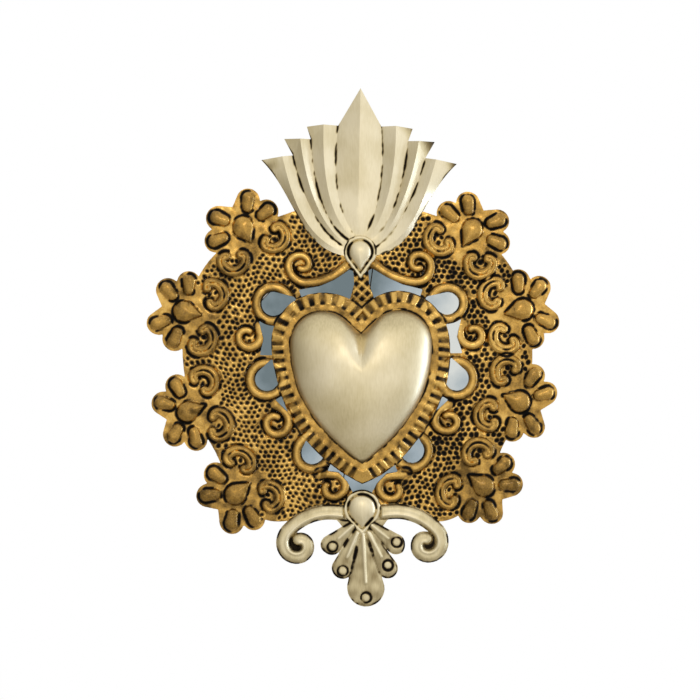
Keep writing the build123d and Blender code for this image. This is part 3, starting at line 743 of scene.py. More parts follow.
def press_petal(sheet, which, depth, radius, rise):
    """A smooth boss with a brown glaze and a black outline that is broken here and there."""
    sheet.swell(which, depth, radius, rise)
    sheet.shade(which, GLAZE * ramp(depth, 0, PETAL_GLAZE_EDGE))
    sheet.line(which, depth + FOOT_GAP, width=0.62, tone=1.5)


print("glaze of tone", GLAZE)

# %% Press a flower
SCROLL_HALF, SCROLL_RISE = 3.1, 1.8
# A scroll's width at its ends and the gain at its back, as shares of the above.
SCROLL_ENDS, SCROLL_BACK = 0.9, 0.15
# The tone of the groove follows the scroll's back, less a start, up to a limit.
GROOVE_GAIN, GROOVE_LESS, GROOVE_LIMIT = 3, 0.9, 1.2
# Where a scroll starts, its heading in degrees, and its arcs as radius and turn.
FLOWER_SCROLL = ((-7.4, 15.1), 62.5, ((2.6, 100), (6.8, 165), (2.6, 100)))
FLOWER_REACH = 27
# The pod round a flower that is kept free of dots.
FLOWER_CLEAR = ((3, 0), (-9, 0), 17, 8)
PETAL_TAPER = 0.6
TEAR_RADIUS, TEAR_TIP, TEAR_CENTRE, TEAR_RISE, TEAR_POINT = 6.0, -8.4, 1.6, 3.0, 0.4


def press_scroll(sheet, which, points, line):
    """A C-scroll with round ends and a groove along its back."""
    gap, along = to_line(points, line)
    back = np.sin(math.pi * along / along.max())
    press_band(sheet, which, gap, SCROLL_HALF * (SCROLL_ENDS + SCROLL_BACK * back), SCROLL_RISE)
    groove = np.clip(GROOVE_GAIN * back - GROOVE_LESS, 0, GROOVE_LIMIT)
    sheet.line(which, gap, width=0.5, depth=0.8, tone=groove, cover=0.7)


def press_flower(sheet, place):
    """Petals, teardrop and the two scrolls of one flower."""
    which = sheet.near(place[:2], FLOWER_REACH)
    local = on_flower(sheet.points[which], place)
    sheet.plain[which] |= in_pod(local, *FLOWER_CLEAR) > 0
    broad, slim = PETAL_WIDTH / 2, PETAL_WIDTH / 2 - PETAL_TAPER
    for angle in PETAL_ANGLES:
        out = unit(math.radians(angle))
        inner = (PETAL_REACH - PETAL_LENGTH / 2 + slim) * out
        outer = (PETAL_REACH + PETAL_LENGTH / 2 - broad) * out
        press_petal(sheet, which, in_pod(local, inner, outer, slim, broad), broad, PETAL_RISE)
    teardrop = in_pod(local, (TEAR_CENTRE, 0), (TEAR_TIP, 0), TEAR_RADIUS, TEAR_POINT)
    press_petal(sheet, which, teardrop, TEAR_RADIUS, TEAR_RISE)
    scroll = arcs(*FLOWER_SCROLL)
    for side in (1, -1):
        press_scroll(sheet, which, local * (1, side), scroll)


print("a scroll has", len(arcs(*FLOWER_SCROLL)), "points")

# %% Press loops and volutes
LOOP_REACH = 16
# Loops and volutes stand this much higher, so that their crests catch the light.
PROUD = 0.5
# Each volute on the right, given as the flower's scroll is.
VOLUTES = (
    ((54.4, 20.0), 264, ((60.0, 5), (6.5, 91), (5.5, 90), (4.0, 120))),
    ((46.6, -22.8), 212, ((30.0, 12), (7.0, 50), (6.5, 86), (5.5, 90), (4.0, 120))),
    ((23.0, -60.6), 179, ((50.0, 10), (6.4, 81), (6.0, 90), (5.0, 80), (3.0, 50))),
    ((5.4, 53.9), 321, ((300.0, 1.15), (34.0, 34), (9.0, 94), (6.2, 90), (4.6, 90), (3.2, 120))),
)
VOLUTE_MARGIN, VOLUTE_START, VOLUTE_HALF, VOLUTE_TAPER = 6, 4, 3.1, 0.9


def press_loops(sheet, right):
    """The rolled bands round the teardrop holes."""
    band = LOOP_BAND / 2
    for centre, _ in LOOPS:
        which = np.flatnonzero(np.all(np.abs(right - centre) < LOOP_REACH, axis=1))
        gap = np.abs(np.hypot(*(right[which] - centre).T) - LOOP_HOLE - band)
        press_band(sheet, which, gap, band, LOOP_RISE + PROUD)


def press_volutes(sheet, right):
    """The smooth scrolls between the piercings."""
    for volute in VOLUTES:
        line = arcs(*volute)
        low, high = line.min(0) - VOLUTE_MARGIN, line.max(0) + VOLUTE_MARGIN
        which = np.flatnonzero(np.all((right > low) & (right < high), axis=1))
        gap, along = to_line(right[which], line)
        rise = (SCROLL_RISE + PROUD) * np.clip(along / VOLUTE_START, 0.1, 1)
        press_band(sheet, which, gap, VOLUTE_HALF - VOLUTE_TAPER * along / along.max(), rise)


print("volutes on each side:", len(VOLUTES))

# %% Press the border
FLUTE_LENGTH, FLUTE_RISE, FLUTE_COUNT = 5.6, 0.5, 58
FLUTE_SQUARE, FLUTE_HAND, FLUTE_RUB = 2, 0.5, 0.9
# Where a bar begins and is full, from the top of the slope, and how long its end at the foot is.
BAR_BEGINS, BAR_FULL, BAR_STOPS = -0.8, 0.4, 0.5
# Tone of the hollows between the bars, what is added near the top, and over what length.
HOLLOW_TONE, HOLLOW_TOP, HOLLOW_REACH, HOLLOW_LEVEL = 0.7, 0.5, 1.5, 0.1
PATCH_TONE, PATCH_CHANGE, PATCH_LEAST = 0.8, 0.4, 0.4
BORDER_MARGIN = 2
GROUND_TONE, GROUND_MOTTLE = 0.22, 0.09


def press_border(sheet, points):
    """The heart's border: a flat band, then a slope of rounded bars with brown grooves between."""
    depth, along = in_heart(points)
    which = np.flatnonzero(depth > -BORDER_WIDTH - BORDER_MARGIN)
    spots = points[which]
    out, along = -depth[which], along[which]
    foot = BORDER_WIDTH - BORDER_LIP / 2
    top = foot - FLUTE_LENGTH
    hand = FLUTE_HAND * drift(spots, 12, 22)
    wave = np.tanh(FLUTE_SQUARE * np.cos(2 * math.pi * FLUTE_COUNT * along / along.max() + hand))
    bars = ramp(out - top, BAR_BEGINS, BAR_FULL) * ramp(BORDER_WIDTH - out, 0, BAR_STOPS)
    rise = BORDER_RISE * ramp(out, foot, top) + FLUTE_RISE * bars * wave
    sheet.height[which] = np.maximum(sheet.height[which], sheet.level + rise)
    sheet.plain[which] = True
    mottled = GROUND_TONE + GROUND_MOTTLE * drift(spots, 3, 23)
    sheet.tone[which] = np.where(out < BORDER_WIDTH, mottled, sheet.tone[which])
    hollow = np.clip(HOLLOW_LEVEL - wave, 0, 1) * bars
    near_top = np.exp(-((out - top) / HOLLOW_REACH) ** 2)
    patchy = np.clip(PATCH_TONE + PATCH_CHANGE * drift(spots, 5, 21), PATCH_LEAST, 1)
    sheet.shade(which, hollow * (HOLLOW_TONE + HOLLOW_TOP * near_top) * patchy)
    sheet.rub(which, FLUTE_RUB * bars * np.clip(wave, 0, 1))
    sheet.line(which, out - BORDER_WIDTH - FOOT_GAP, width=0.55, depth=0.2, tone=1.3)
    x, y = spots.T
    seam = in_heart(np.column_stack((x / side_share(y), y)))[0]
    sheet.line(which, seam, width=0.6, depth=0.1, tone=1.2, cover=0.8)


print("flutes:", FLUTE_COUNT)

# %% Press the neck
NECK_HALF, NECK_LOW, NECK_HIGH = 5.2, 33, 52
LATTICE_PITCH, LATTICE_SLOPE, LATTICE_START = 5.4, 0.9, 34
LATTICE_BAR, LATTICE_RISE, LATTICE_EDGE, LATTICE_DARK = 0.7, 0.7, 0.8, 0.95


def press_neck(sheet, points):
    """The lattice of crossed bars between the notch and the flame."""
    x, y = points.T
    which = np.flatnonzero((np.abs(x) < NECK_HALF) & (y > NECK_LOW) & (y < NECK_HIGH))
    x, y = x[which], y[which]
    rows = [(y + way * x * LATTICE_SLOPE - LATTICE_START) % LATTICE_PITCH for way in (1, -1)]
    bar = np.minimum(*[np.abs(row - LATTICE_PITCH / 2) for row in rows])
    sheet.plain[which] = True
    sheet.height[which] += LATTICE_RISE * np.exp(-(bar / LATTICE_BAR) ** 2)
    sheet.shade(which, np.clip((bar - LATTICE_EDGE) / LATTICE_BAR, 0, LATTICE_DARK))


print("lattice every", LATTICE_PITCH, "mm")

# %% [markdown]
# ### Stippled ground
#
# All the ground that is left is punched with small dots in rough rows. Each is a dent with black
# patina in it. The rows are a staggered lattice with each dot a little off its place, and a dot is
# left out where it would touch a boss or an edge. On the right, more of the black was left.

# %% Punch the dots
DOT_PITCH = 3.05
# The rows of a staggered lattice lie closer together than the dots in a row.
DOT_ROW = 0.87 * DOT_PITCH
DOT_RADIUS, DOT_SIZES = 1.0, (0.85, 1.15)
DOT_DEPTH, DOT_BURR = 0.4, 0.2
DOT_STRAY = 0.5
DOT_CELLS = 84
DOT_WANDER, WANDER_SIZE = 1.1, 15
# Distances from a dot's middle, in dot radii.
NO_DOT, DENT_EDGE, BURR_PLACE, BURR_WIDTH = 9.0, 1.4, 1.6, 0.3
# The black reaches farther on the right, from the first x to the second.
SOOT_REACH, SOOT_RIGHT, SOOT_FROM, SOOT_TO = 1.35, 0.25, 10, 40
SOOT_TONE, SOOT_CHANGE = 1.2, 0.15
BURR_RUB = 0.7


def dot_lattice(seed=5):
    """Where each dot of a staggered lattice went, and how large it turned out."""
    rng = np.random.default_rng(seed)
    stray = rng.uniform(-DOT_STRAY, DOT_STRAY, (DOT_CELLS, DOT_CELLS, 2))
    size = rng.uniform(*DOT_SIZES, (DOT_CELLS, DOT_CELLS)) * DOT_RADIUS
    row, column = np.mgrid[0:DOT_CELLS, 0:DOT_CELLS]
    x = (column - DOT_CELLS // 2 + 0.5 * (row % 2)) * DOT_PITCH
    y = (row - DOT_CELLS // 2) * DOT_ROW
    return np.stack((x, y), axis=-1) + stray, size


def wander(points):
    """How far the rows have strayed from straight lines."""
    stray = np.column_stack((drift(points, WANDER_SIZE, 51), drift(points, WANDER_SIZE, 52)))
    return DOT_WANDER * stray


def punch_dots(sheet, points, clear):
    """Dents in the ground where clear(points) says that there is room, each with a small burr."""
    dots, size = dot_lattice()
    placed = dots.reshape(-1, 2)
    placed = placed - wander(placed - wander(placed))
    room = clear(placed).reshape(size.shape)
    points = points + wander(points)
    row = np.round(points[:, 1] / DOT_ROW).astype(int) + DOT_CELLS // 2
    best = np.full(len(points), NO_DOT)
    for row_step in (-1, 0, 1):
        r = np.clip(row + row_step, 0, DOT_CELLS - 1)
        column = np.round(points[:, 0] / DOT_PITCH - 0.5 * (r % 2)).astype(int) + DOT_CELLS // 2
        for column_step in (-1, 0, 1):
            c = np.clip(column + column_step, 0, DOT_CELLS - 1)
            gap = np.hypot(*(points - dots[r, c]).T) / size[r, c]
            best = np.minimum(best, np.where(room[r, c], gap, NO_DOT))
    dent = np.clip(DENT_EDGE - best, 0, 1)
    burr = np.exp(-((best - BURR_PLACE) / BURR_WIDTH) ** 2)
    sheet.height += DOT_BURR * burr - DOT_DEPTH * dent
    reach = SOOT_REACH + SOOT_RIGHT * ramp(points[:, 0], SOOT_FROM, SOOT_TO)
    soot = (reach - best) * (SOOT_TONE + SOOT_CHANGE * drift(points, 6, 25))
    sheet.tone = np.maximum(sheet.tone * (1 - BURR_RUB * burr), np.clip(soot, 0, 1))
    print("dots punched:", int(room.sum()))


print("a lattice of", DOT_CELLS, "by", DOT_CELLS, "dots")

# %% Relief of the gold sheet
# Painted light brightens the bosses on the upper right, and painted shade darkens the lower
# flowers. Both spare what is black already. The pairs say where each effect begins and where it is
# full.
RIGHT_PAINTED_LIGHT, LOW_PAINTED_SHADE, BLACK = -0.36, 0.08, 0.45
LIT_X, LIT_Y = (15, 75), (-45, 5)
LOW_SHADE_X, LOW_SHADE_Y = (40, 60), (-40, -80)
DOT_MARGIN = 0.5


def press_frame(points):
    """The relief of the gold sheet, before its dots."""
    points = wobbled(points)
    right = folded(points)
    sheet = Relief(points, GROUND, GROUND_TONE)
    sheet.tone += GROUND_MOTTLE * (drift(points, 3, 23) + drift(points, 9, 24))
    for place in FLOWERS:
        press_flower(sheet, place)
    press_loops(sheet, right)
    press_volutes(sheet, right)
    press_border(sheet, points)
    press_neck(sheet, points)
    x, y = points.T
    # Painted light brightens the bosses towards the upper right; painted shade darkens the lower
    # flowers.
    worn = ramp(x, *LIT_X) * ramp(y, *LIT_Y) * sheet.plain
    low_shade = ramp(y, *LOW_SHADE_Y) * ramp(np.abs(x), *LOW_SHADE_X)
    sheet.tone += np.where(sheet.tone < BLACK, RIGHT_PAINTED_LIGHT * worn * sheet.tone + LOW_PAINTED_SHADE * low_shade, 0)
    return sheet


def room_for_dot(dots):
    """Where a dot of the wobbled sheet keeps clear of bosses and edges."""
    near = in_ground(dots) > 0
    room = np.zeros(len(dots), bool)
    spots = dots[near]
    room[near] = (frame_edge(spots) > DOT_RADIUS + DOT_MARGIN) & ~press_frame(spots).plain
    return room


print("patina above", BLACK, "stays as it is")

# %% Make the gold sheet
GOLD_STEP, GOLD_MARGIN = 0.5, 2
BUCKLE, BUCKLE_SIZE = 0.1, 9
RIPPLE, RIPPLE_SIZE = 0.05, 2.4
THINNEST = 0.08

low, high = (np.array(corner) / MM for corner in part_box("frame_sheet"))
low, high = low[[0, 2]] - GOLD_MARGIN, high[[0, 2]] + GOLD_MARGIN
points, faces = cut_grid(frame_edge, low, high, GOLD_STEP)
sheet = press_frame(points)
punch_dots(sheet, points, room_for_dot)
sheet.height += BUCKLE * drift(points, BUCKLE_SIZE, 3) + RIPPLE * drift(points, RIPPLE_SIZE, 4)
sheet.height = np.maximum(sheet.height, SHEET_BACK + THINNEST)
gold_sheet = make_sheet("gold_sheet", points, sheet.height, faces, sheet.tone, SHEET_BACK,
                        (gold, tinplate))
fix(gold_sheet, "frame_sheet")

# %% [markdown]
# ## Champagne tin
#
# The heart, flame and pendant are tinplate under a clear lacquer that has yellowed to a champagne
# colour. The heart was rubbed with steel wool, which leaves fine scratches that run up and down,
# so its gloss is soft. Patina stays only in the creases. The noise is stretched along the
# scratches, because that is how they reach the eye: as a sheen that is drawn out.

# %% Champagne tinplate
SILVER_STOPS = (
    (0.0, "#EEE1BF"), (0.18, "#D6C79D"), (0.42, "#8F7D56"), (0.7, "#3A2F1C"), (1.0, "#0B0806"),
)
SILVER_PATCH = 20.0
# Steel wool leaves scratches far finer than a pixel, so they are drawn about a millimetre wide.
SCRATCH_WIDTH = 0.9
SCRATCH_STRETCH = (1, 1, 0.2)

# Champagne tin: pale, warm and satin, with broad soft highlights and black only in the creases.
silver = metal_finish("champagne_tinplate", SILVER_STOPS, roughness=(0.38, 0.75), patch=SILVER_PATCH,
                      grain=SCRATCH_WIDTH, bump=0.2, stain=0.05, streak=SCRATCH_STRETCH, lacquer=0.2)

# %% [markdown]
# ## The domed heart
#
# A dome like this is sunk into a wooden form, so it rises steeply at its edge and flattens at its
# crown, and the crease of the notch runs out towards the middle. It is built from rings of the
# heart's own outline, each smaller and higher, with the notch opening as they shrink. The lower
# sides are drawn in by a millimetre or so, because by hand they came out straighter than an arc.

# %% Rings of the heart
DOME_RINGS = 60
DOME_TOP_Y = -6.0
NOTCH_OPENING = 30.0
TIP_ROUNDING, TIP_REACH = 14.0, 20

shares = np.cos(np.linspace(0, math.pi / 2, DOME_RINGS + 1)[:-1])
rings = []
for s in shares:
    ring = heart_line(NOTCH_ANGLE - NOTCH_OPENING * (1 - s))
    ring[:, 0] *= side_share(ring[:, 1])
    ring = ring * s + (0, DOME_TOP_Y * (1 - s))
    blunt = TIP_ROUNDING * s * math.sqrt(1 - s)
    lower = ramp(ring[:, 1], DOME_TOP_Y, DOME_TOP_Y - TIP_REACH)
    ring[:, 1] += lower * (np.hypot(ring[:, 0], blunt) - np.abs(ring[:, 0]))
    rings.append(ring)
around = len(rings[0])
points = np.vstack(rings + [[(0, DOME_TOP_Y)]])
share = np.append(np.repeat(shares, around), 0.0)
print("heart of", DOME_RINGS, "rings of", around, "points")

# %% Dome and crease of the heart
DOME_RISE, DOME_FULLNESS = 14.0, 2.3
# The crease is a V that fades out sideways over its reach. It grows deeper from its end up to the
# height where it is full.
CREASE_SHARE, CREASE_REACH, CREASE_EDGE = 0.8, 3.8, 0.35
CREASE_END, CREASE_FULL = -9.0, 7.0
# The dents fade out towards the rim, where the swell is below one part in this many.
DOME_DENT, DOME_DENT_SIZE, DENT_FREE = 0.12, 10, 4

seat = GROUND + BORDER_RISE
x, y = points.T
swell = np.sqrt(1 - share ** DOME_FULLNESS)
beside = np.exp(-np.hypot(x, CREASE_EDGE) / CREASE_REACH)
above = ramp(y, CREASE_END, CREASE_FULL)
swell -= CREASE_SHARE * np.maximum(swell - 1 + share, 0) * beside * above ** 2 * (3 - 2 * above)
height = seat + TIN + (DOME_RISE - TIN) * swell
height += DOME_DENT * drift(points, DOME_DENT_SIZE, 7) * np.clip(swell * DENT_FREE, 0, 1)
print("heart", round(height.max() - seat, 1), "mm high")

# %% Make the heart
HEART_TONE, HEART_MOTTLE = 0.08, 0.05
RIM_TONE, RIM_SHARE = 0.5, 0.98
LOBE_PAINTED_SHADE, LOBE_Y_RANGE, TIP_Y_RANGE = 0.1, (2, 18), (-10, -40)

tone = HEART_TONE + RIM_TONE * ramp(share, RIM_SHARE, 1) + HEART_MOTTLE * drift(points, 14, 9)
# Painted shade: the heart darkens towards its tip and towards the tops of its lobes.
tone += LOW_PAINTED_SHADE * ramp(y, *TIP_Y_RANGE) + LOBE_PAINTED_SHADE * ramp(y, *LOBE_Y_RANGE)
faces = []
for ring in range(DOME_RINGS):
    for i in range(around):
        a, b = ring * around + i, ring * around + (i + 1) % around
        inner = [b + around, a + around] if ring < DOME_RINGS - 1 else [len(points) - 1]
        faces.append([a, b] + inner)
heart = make_sheet("domed_heart", points, height, faces, tone, seat, (silver, tinplate))
fix(heart, "heart_dome")

# %% [markdown]
# ## The flame
#
# The flame is a fan of sharp pleats. Each fold is a smooth curve from the boss to a tip, ridges
# and valleys by turns, and the sheet is straight between two folds. The rows of points follow the
# folds, closer together beside the valleys, where black patina lies in broken lines.

# %% Folds of the flame
BOSS_Y, BOSS_RADIUS, BOSS_REACH = 59.6, 8.9, 14.7
FLAME_RISE, FLAME_MIDDLE_RISE = 3.4, 4.6
FOLD_START, FOLD_END = 0.45, 0.8
FOLD_GAP, FOLD_STEP = 0.4, 14.5
# Two control points and the tip of each fold on the right, from the middle outwards.
FOLDS = (
    ((0.0, 88.0), (0.0, 120.0), (0.0, 148.0)),
    ((12.5, 82.0), (14.0, 105.0), (11.7, 127.8)),
    ((15.0, 78.0), (20.0, 100.0), (19.6, 128.1)),
    ((18.0, 74.0), (24.5, 95.0), (26.4, 120.2)),
    ((19.5, 72.0), (28.5, 94.0), (32.1, 120.2)),
    ((21.0, 70.0), (30.0, 88.0), (35.9, 111.2)),
    ((27.0, 66.0), (35.0, 84.0), (41.6, 110.4)),
    ((32.0, 62.0), (34.0, 90.0), (53.0, 108.3)),
)
FLAME_ROWS = 110


def fold_line(number):
    """Points of a fold with their height, from the boss to the tip."""
    rise = (FLAME_RISE if number else FLAME_MIDDLE_RISE) * (number % 2 == 0)
    foot = (BOSS_RADIUS + FOLD_GAP) * unit(math.radians(90 - FOLD_STEP * number)) + (0, BOSS_Y)
    rises = 0, FOLD_START, 1, FOLD_END
    controls = [(*place, rise * share) for place, share in zip((foot, *FOLDS[number]), rises)]
    t = np.linspace(0, 1, FLAME_ROWS)[:, None]
    weights = (1 - t) ** 3, 3 * t * (1 - t) ** 2, 3 * t * t * (1 - t), t ** 3
    return sum(weight * np.array(control) for weight, control in zip(weights, controls))


folds = [fold_line(number) for number in range(len(FOLDS))]
print("folds on each side:", len(folds))

# %% Pleats between the folds
FLAME_COLUMNS = 9
CROWDING = 1.7
EDGE_GAP = 3.0

columns, valley_gap = [], []
for number, (first, second) in enumerate(zip(folds, folds[1:])):
    valley = first if number % 2 else second
    for step in range(FLAME_COLUMNS):
        share = step / FLAME_COLUMNS
        share = share ** CROWDING if number % 2 else 1 - (1 - share) ** CROWDING
        columns.append(first * (1 - share) + second * share)
        valley_gap.append(np.hypot(*(columns[-1] - valley)[:, :2].T))
columns.append(folds[-1])
valley_gap.append(np.full(FLAME_ROWS, EDGE_GAP))
mirrored = [column * (-1, 1, 1) for column in columns[:0:-1]]
grid = np.stack(mirrored + columns, axis=1)
gaps = np.stack(valley_gap[:0:-1] + valley_gap, axis=1)
rows, across = grid.shape[:2]
index = np.arange(rows * across).reshape(rows, across)
quads = index[:-1, :-1], index[:-1, 1:], index[1:, 1:], index[1:, :-1]
faces = np.stack(quads, axis=-1).reshape(-1, 4).tolist()
points = [tuple(p) for p in grid.reshape(-1, 3)]
print("flame grid", rows, "by", across)

# %% Corners and pad of the flame
CORNERS = {2: (28.7, 126.9), 4: (40.8, 120.0)}
PAD_INSET = 0.8

middle = across // 2
for fold, (x, y) in CORNERS.items():
    for side in (1, -1):
        ends = sorted(middle + side * number * FLAME_COLUMNS for number in (fold, fold + 1))
        faces.append([int(i) for i in index[-1, ends[0]:ends[1] + 1]] + [len(points)])
        points.append((side * x, y, 0.0))
pad_radius, pad_reach = BOSS_RADIUS - PAD_INSET, BOSS_REACH - PAD_INSET
spread = math.acos(pad_radius / pad_reach)
pad = [pad_radius * unit(-math.pi / 2 + side * spread) + (0, BOSS_Y) for side in (-1, 1)]
pad.insert(1, (0, BOSS_Y - pad_reach))
faces.append([int(i) for i in index[0, ::-1]] + [len(points) + i for i in range(len(pad))])
points += [(x, y, 0.0) for x, y in pad]
points = np.array(points)
print("flame points", len(points))

# %% Make the flame
FLAME_TONE, FLAME_MOTTLE = 0.045, 0.04
CORNER_TONES = (0.4, 0.12, 0.75, 0.2)
VALLEY_HALF, VALLEY_CHANGE = 0.5, 0.15
# The lines are broken to dashes by wear, and better kept above this height than below it.
DASH_COVER, DASH_RISE, DASH_Y, DASH_WEAR, DASH_LIMIT, DASH_SPECK = 0.5, 0.01, 90, 0.8, 1.2, 0.5
# The two outer tips have tarnished, the right one more. Their distance is taken from a line a
# little to the right of the axis.
TIP_MIDDLE, TIP_X, TIP_TONE, TIP_LEAN, TIP_MOTTLE = 2, (42, 52), 0.65, 0.006, 0.3
FLAME_BUCKLE = 0.08
# The flame was set on a little askew: it turns about its middle, and the turn grows from the boss
# upwards.
FLAME_TURN, FLAME_PIVOT, TURN_Y = math.radians(-1.7), (0.0, 112.0), (64, 90)

flat = grid.reshape(-1, 3)[:, :2]
x, y = flat.T
worn = drift(flat, 9, 31) + DASH_SPECK * drift(flat, 2, 34)
dashes = np.clip(DASH_COVER + DASH_RISE * (y - DASH_Y) + DASH_WEAR * worn, 0, DASH_LIMIT)
valley_line = np.exp(-(gaps.reshape(-1) / (VALLEY_HALF + VALLEY_CHANGE * worn)) ** 2)
tip = ramp(np.abs(x - TIP_MIDDLE), *TIP_X) ** 2
tarnish = tip * np.clip(TIP_TONE + TIP_LEAN * x + TIP_MOTTLE * drift(flat, 5, 33), 0, 1)
tone = np.maximum(np.clip(valley_line * dashes, 0, 1), tarnish)
tone = np.maximum(tone, FLAME_TONE + FLAME_MOTTLE * drift(flat, 12, 32))
tone = np.concatenate((tone, CORNER_TONES, np.full(len(pad), FLAME_TONE)))
height = OVERLAY + points[:, 2] + FLAME_BUCKLE * drift(points[:, :2], 10, 8)
turn = FLAME_TURN * ramp(points[:, 1], *TURN_Y)
x, y = (points[:, :2] - FLAME_PIVOT).T
turned = np.column_stack((x * np.cos(turn) - y * np.sin(turn), x * np.sin(turn) + y * np.cos(turn)))
flame = make_sheet("pleated_flame", turned + FLAME_PIVOT, height, faces, tone, GROUND,
                   (silver, tinplate), fold=15)
fix(flame, "flame_fan")

# %% [markdown]
# ## Bosses
#
# At the foot of the flame and on the pendant sits a small stamped teardrop: a rolled rim, a dark
# gutter and a dome. Both come from one function, as both came from one kind of stamp.

# %% Make the two bosses
RIM, RIM_RISE = 2.4, 0.9
BOSS_RISE, BOSS_TIP = 3.6, 0.5
BOSS_STEP = 0.35
PENDANT_BOSS_Y, PENDANT_BOSS_RADIUS, PENDANT_BOSS_REACH = -79.4, 10.1, 14.6
PENDANT_SHIFT = (-0.3, 0.0)


def make_boss(name, y, radius, reach, node, shift=(0.0, 0.0)):
    """A stamped teardrop with a rolled rim, which a shift can set a little off its place."""
    def edge(points):
        return in_pod(points, (0, y), (0, y - reach + BOSS_TIP), radius, BOSS_TIP)

    low, high = (-radius - 1, y - reach - 1), (radius + 1, y + radius + 1)
    points, faces = cut_grid(edge, low, high, BOSS_STEP)
    depth = edge(points)
    sheet = Relief(points, OVERLAY + TIN, HEART_TONE)
    everywhere = np.arange(len(points))
    sheet.height += RIM_RISE * half_round(RIM / 2 - np.abs(depth - RIM / 2), RIM / 2)
    sheet.swell(everywhere, depth - RIM, radius - RIM, BOSS_RISE)
    sheet.line(everywhere, depth - RIM, width=0.55, depth=0.3, tone=1.3, cover=0.7)
    sheet.line(everywhere, depth, width=0.6, depth=0.0, tone=1.2, cover=0.6)
    piece = make_sheet(name, points + shift, sheet.height, faces, sheet.tone, OVERLAY,
                       (silver, tinplate))
    fix(piece, node)


make_boss("flame_teardrop", BOSS_Y, BOSS_RADIUS, BOSS_REACH, "flame_boss")
make_boss("pendant_teardrop", PENDANT_BOSS_Y, PENDANT_BOSS_RADIUS, PENDANT_BOSS_REACH, "pendant_boss",
          PENDANT_SHIFT)

# %% [markdown]
# ## The pendant
#
# The pendant is a palmette of five leaves between two scrolled arms. Each leaf has a raised
# midrib and a ring that was struck with a tube punch near its end, and each arm is a broad band
# with a bright ridge along its inner edge. The eye of its curl is closed and holds patina.

# %% Sizes and edge of the pendant
# Where an arm starts, its heading in degrees, and its arcs as radius and turn.
ARM = ((14.6, -81.3), 6, ((30.0, -56), (9.0, -60), (7.0, -90), (5.2, -90), (3.6, -90)))
ARM_START, ARM_ROOT, ARM_END = (5.0, -82.3), 3.9, 3.3
CURL, CURL_RADIUS = (35.6, -99.2), 4.6
# The foot and the end of each leaf on the right, and its width.
LEAVES = (
    ((0.0, -93.0), (0.0, -122.5), 19.4),
    ((3.0, -92.5), (12.2, -111.8), 10.6),
    ((5.0, -88.5), (17.4, -99.0), 10.2),
)
LEAF_FOOT = 4.0
PLATE = np.array(((15.0, -78.5), (15.0, -84.0), (9.5, -91.0), (7.0, -99.0), (3.0, -104.0)))
PENDANT_EDGE = 0.4

arm = np.vstack((ARM_START, arcs(*ARM)))
arm_length = np.hypot(*np.diff(arm, axis=0).T).sum()
plate = np.vstack((PLATE, (PLATE * (-1, 1))[::-1]))


def in_arm(right):
    """Signed distance to the arm, which narrows to its curl, and its half width there."""
    gap, along = to_line(right, arm)
    half = ARM_ROOT + (ARM_END - ARM_ROOT) * along / arm_length
    return half - gap, half


def in_leaf(right, leaf, edge=0.0):
    """Signed distance to a leaf."""
    foot, end, width = leaf
    return in_pod(right, end, foot, width / 2 + edge, LEAF_FOOT / 2 + edge)


def pendant_edge(points):
    """Signed distance to the pendant's cut edge."""
    right = folded(points)
    shapes = [in_outline(points, plate), in_arm(right)[0] + PENDANT_EDGE]
    shapes.append(CURL_RADIUS - np.hypot(*(right - CURL).T))
    shapes += [in_leaf(right, leaf, PENDANT_EDGE) for leaf in LEAVES]
    return np.maximum.reduce(shapes)


print("an arm is", round(arm_length, 1), "mm long")

# %% Leaves of the pendant
PENDANT_STEP = 0.45
# Room for the grid round the sheet's box, across and up.
ROOM_BELOW, ROOM_ABOVE = (3, 2), (3, 3)
PENDANT_TONE, PENDANT_MOTTLE = 0.29, 0.05
LEAF_RISE = 0.9
# A midrib stops short of the leaf's end by this share of its length.
MIDDLE_RIB_STOP, SIDE_RIB_STOP = 0.1, 0.32
RIB_WIDTH, RIB_TAPER, RIB_RISE, RIB_RUB = 1.1, 0.4, 0.8, 0.9

low, high = (np.array(corner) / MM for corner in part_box("pendant_sheet"))
low, high = low[[0, 2]] - ROOM_BELOW, high[[0, 2]] + ROOM_ABOVE
points, faces = cut_grid(pendant_edge, low, high, PENDANT_STEP)
right = folded(points)
sheet = Relief(points, OVERLAY, PENDANT_TONE)
everywhere = np.arange(len(points))
sheet.tone += PENDANT_MOTTLE * drift(points, 3, 41)
for leaf in LEAVES:
    depth = in_leaf(right, leaf)
    foot, end, width = np.array(leaf[0]), np.array(leaf[1]), leaf[2]
    sheet.swell(everywhere, depth, width / 3, LEAF_RISE)
    stop = MIDDLE_RIB_STOP if foot[0] == 0 else SIDE_RIB_STOP
    gap, along = to_line(right, np.array((foot, end + stop * (foot - end))))
    midrib = np.exp(-(gap / (RIB_WIDTH - RIB_TAPER * along / along.max())) ** 2) * (depth > 0)
    sheet.height += RIB_RISE * midrib
    sheet.rub(everywhere, RIB_RUB * midrib)
    sheet.line(everywhere, depth, width=0.5, depth=0.35, tone=1.2, cover=0.55)
print("pendant points", len(points))

# %% Arms of the pendant
ARM_RISE, ARM_ROUND, ARM_RUB, ARM_FOOT_GAP = 2.0, 0.8, 0.5, 0.1
# The arm rises from the plate between these distances from the axis.
ARM_CLEAR, ARM_FULL = 9.3, 10.8
RIDGE_OFFSET, RIDGE_WIDTH, RIDGE_RISE, RIDGE_RUB = 1.7, 0.8, 0.5, 0.7
CURL_TONE, CURL_DEPTHS, CURL_MARGIN = 0.9, (0.18, -0.42), 1

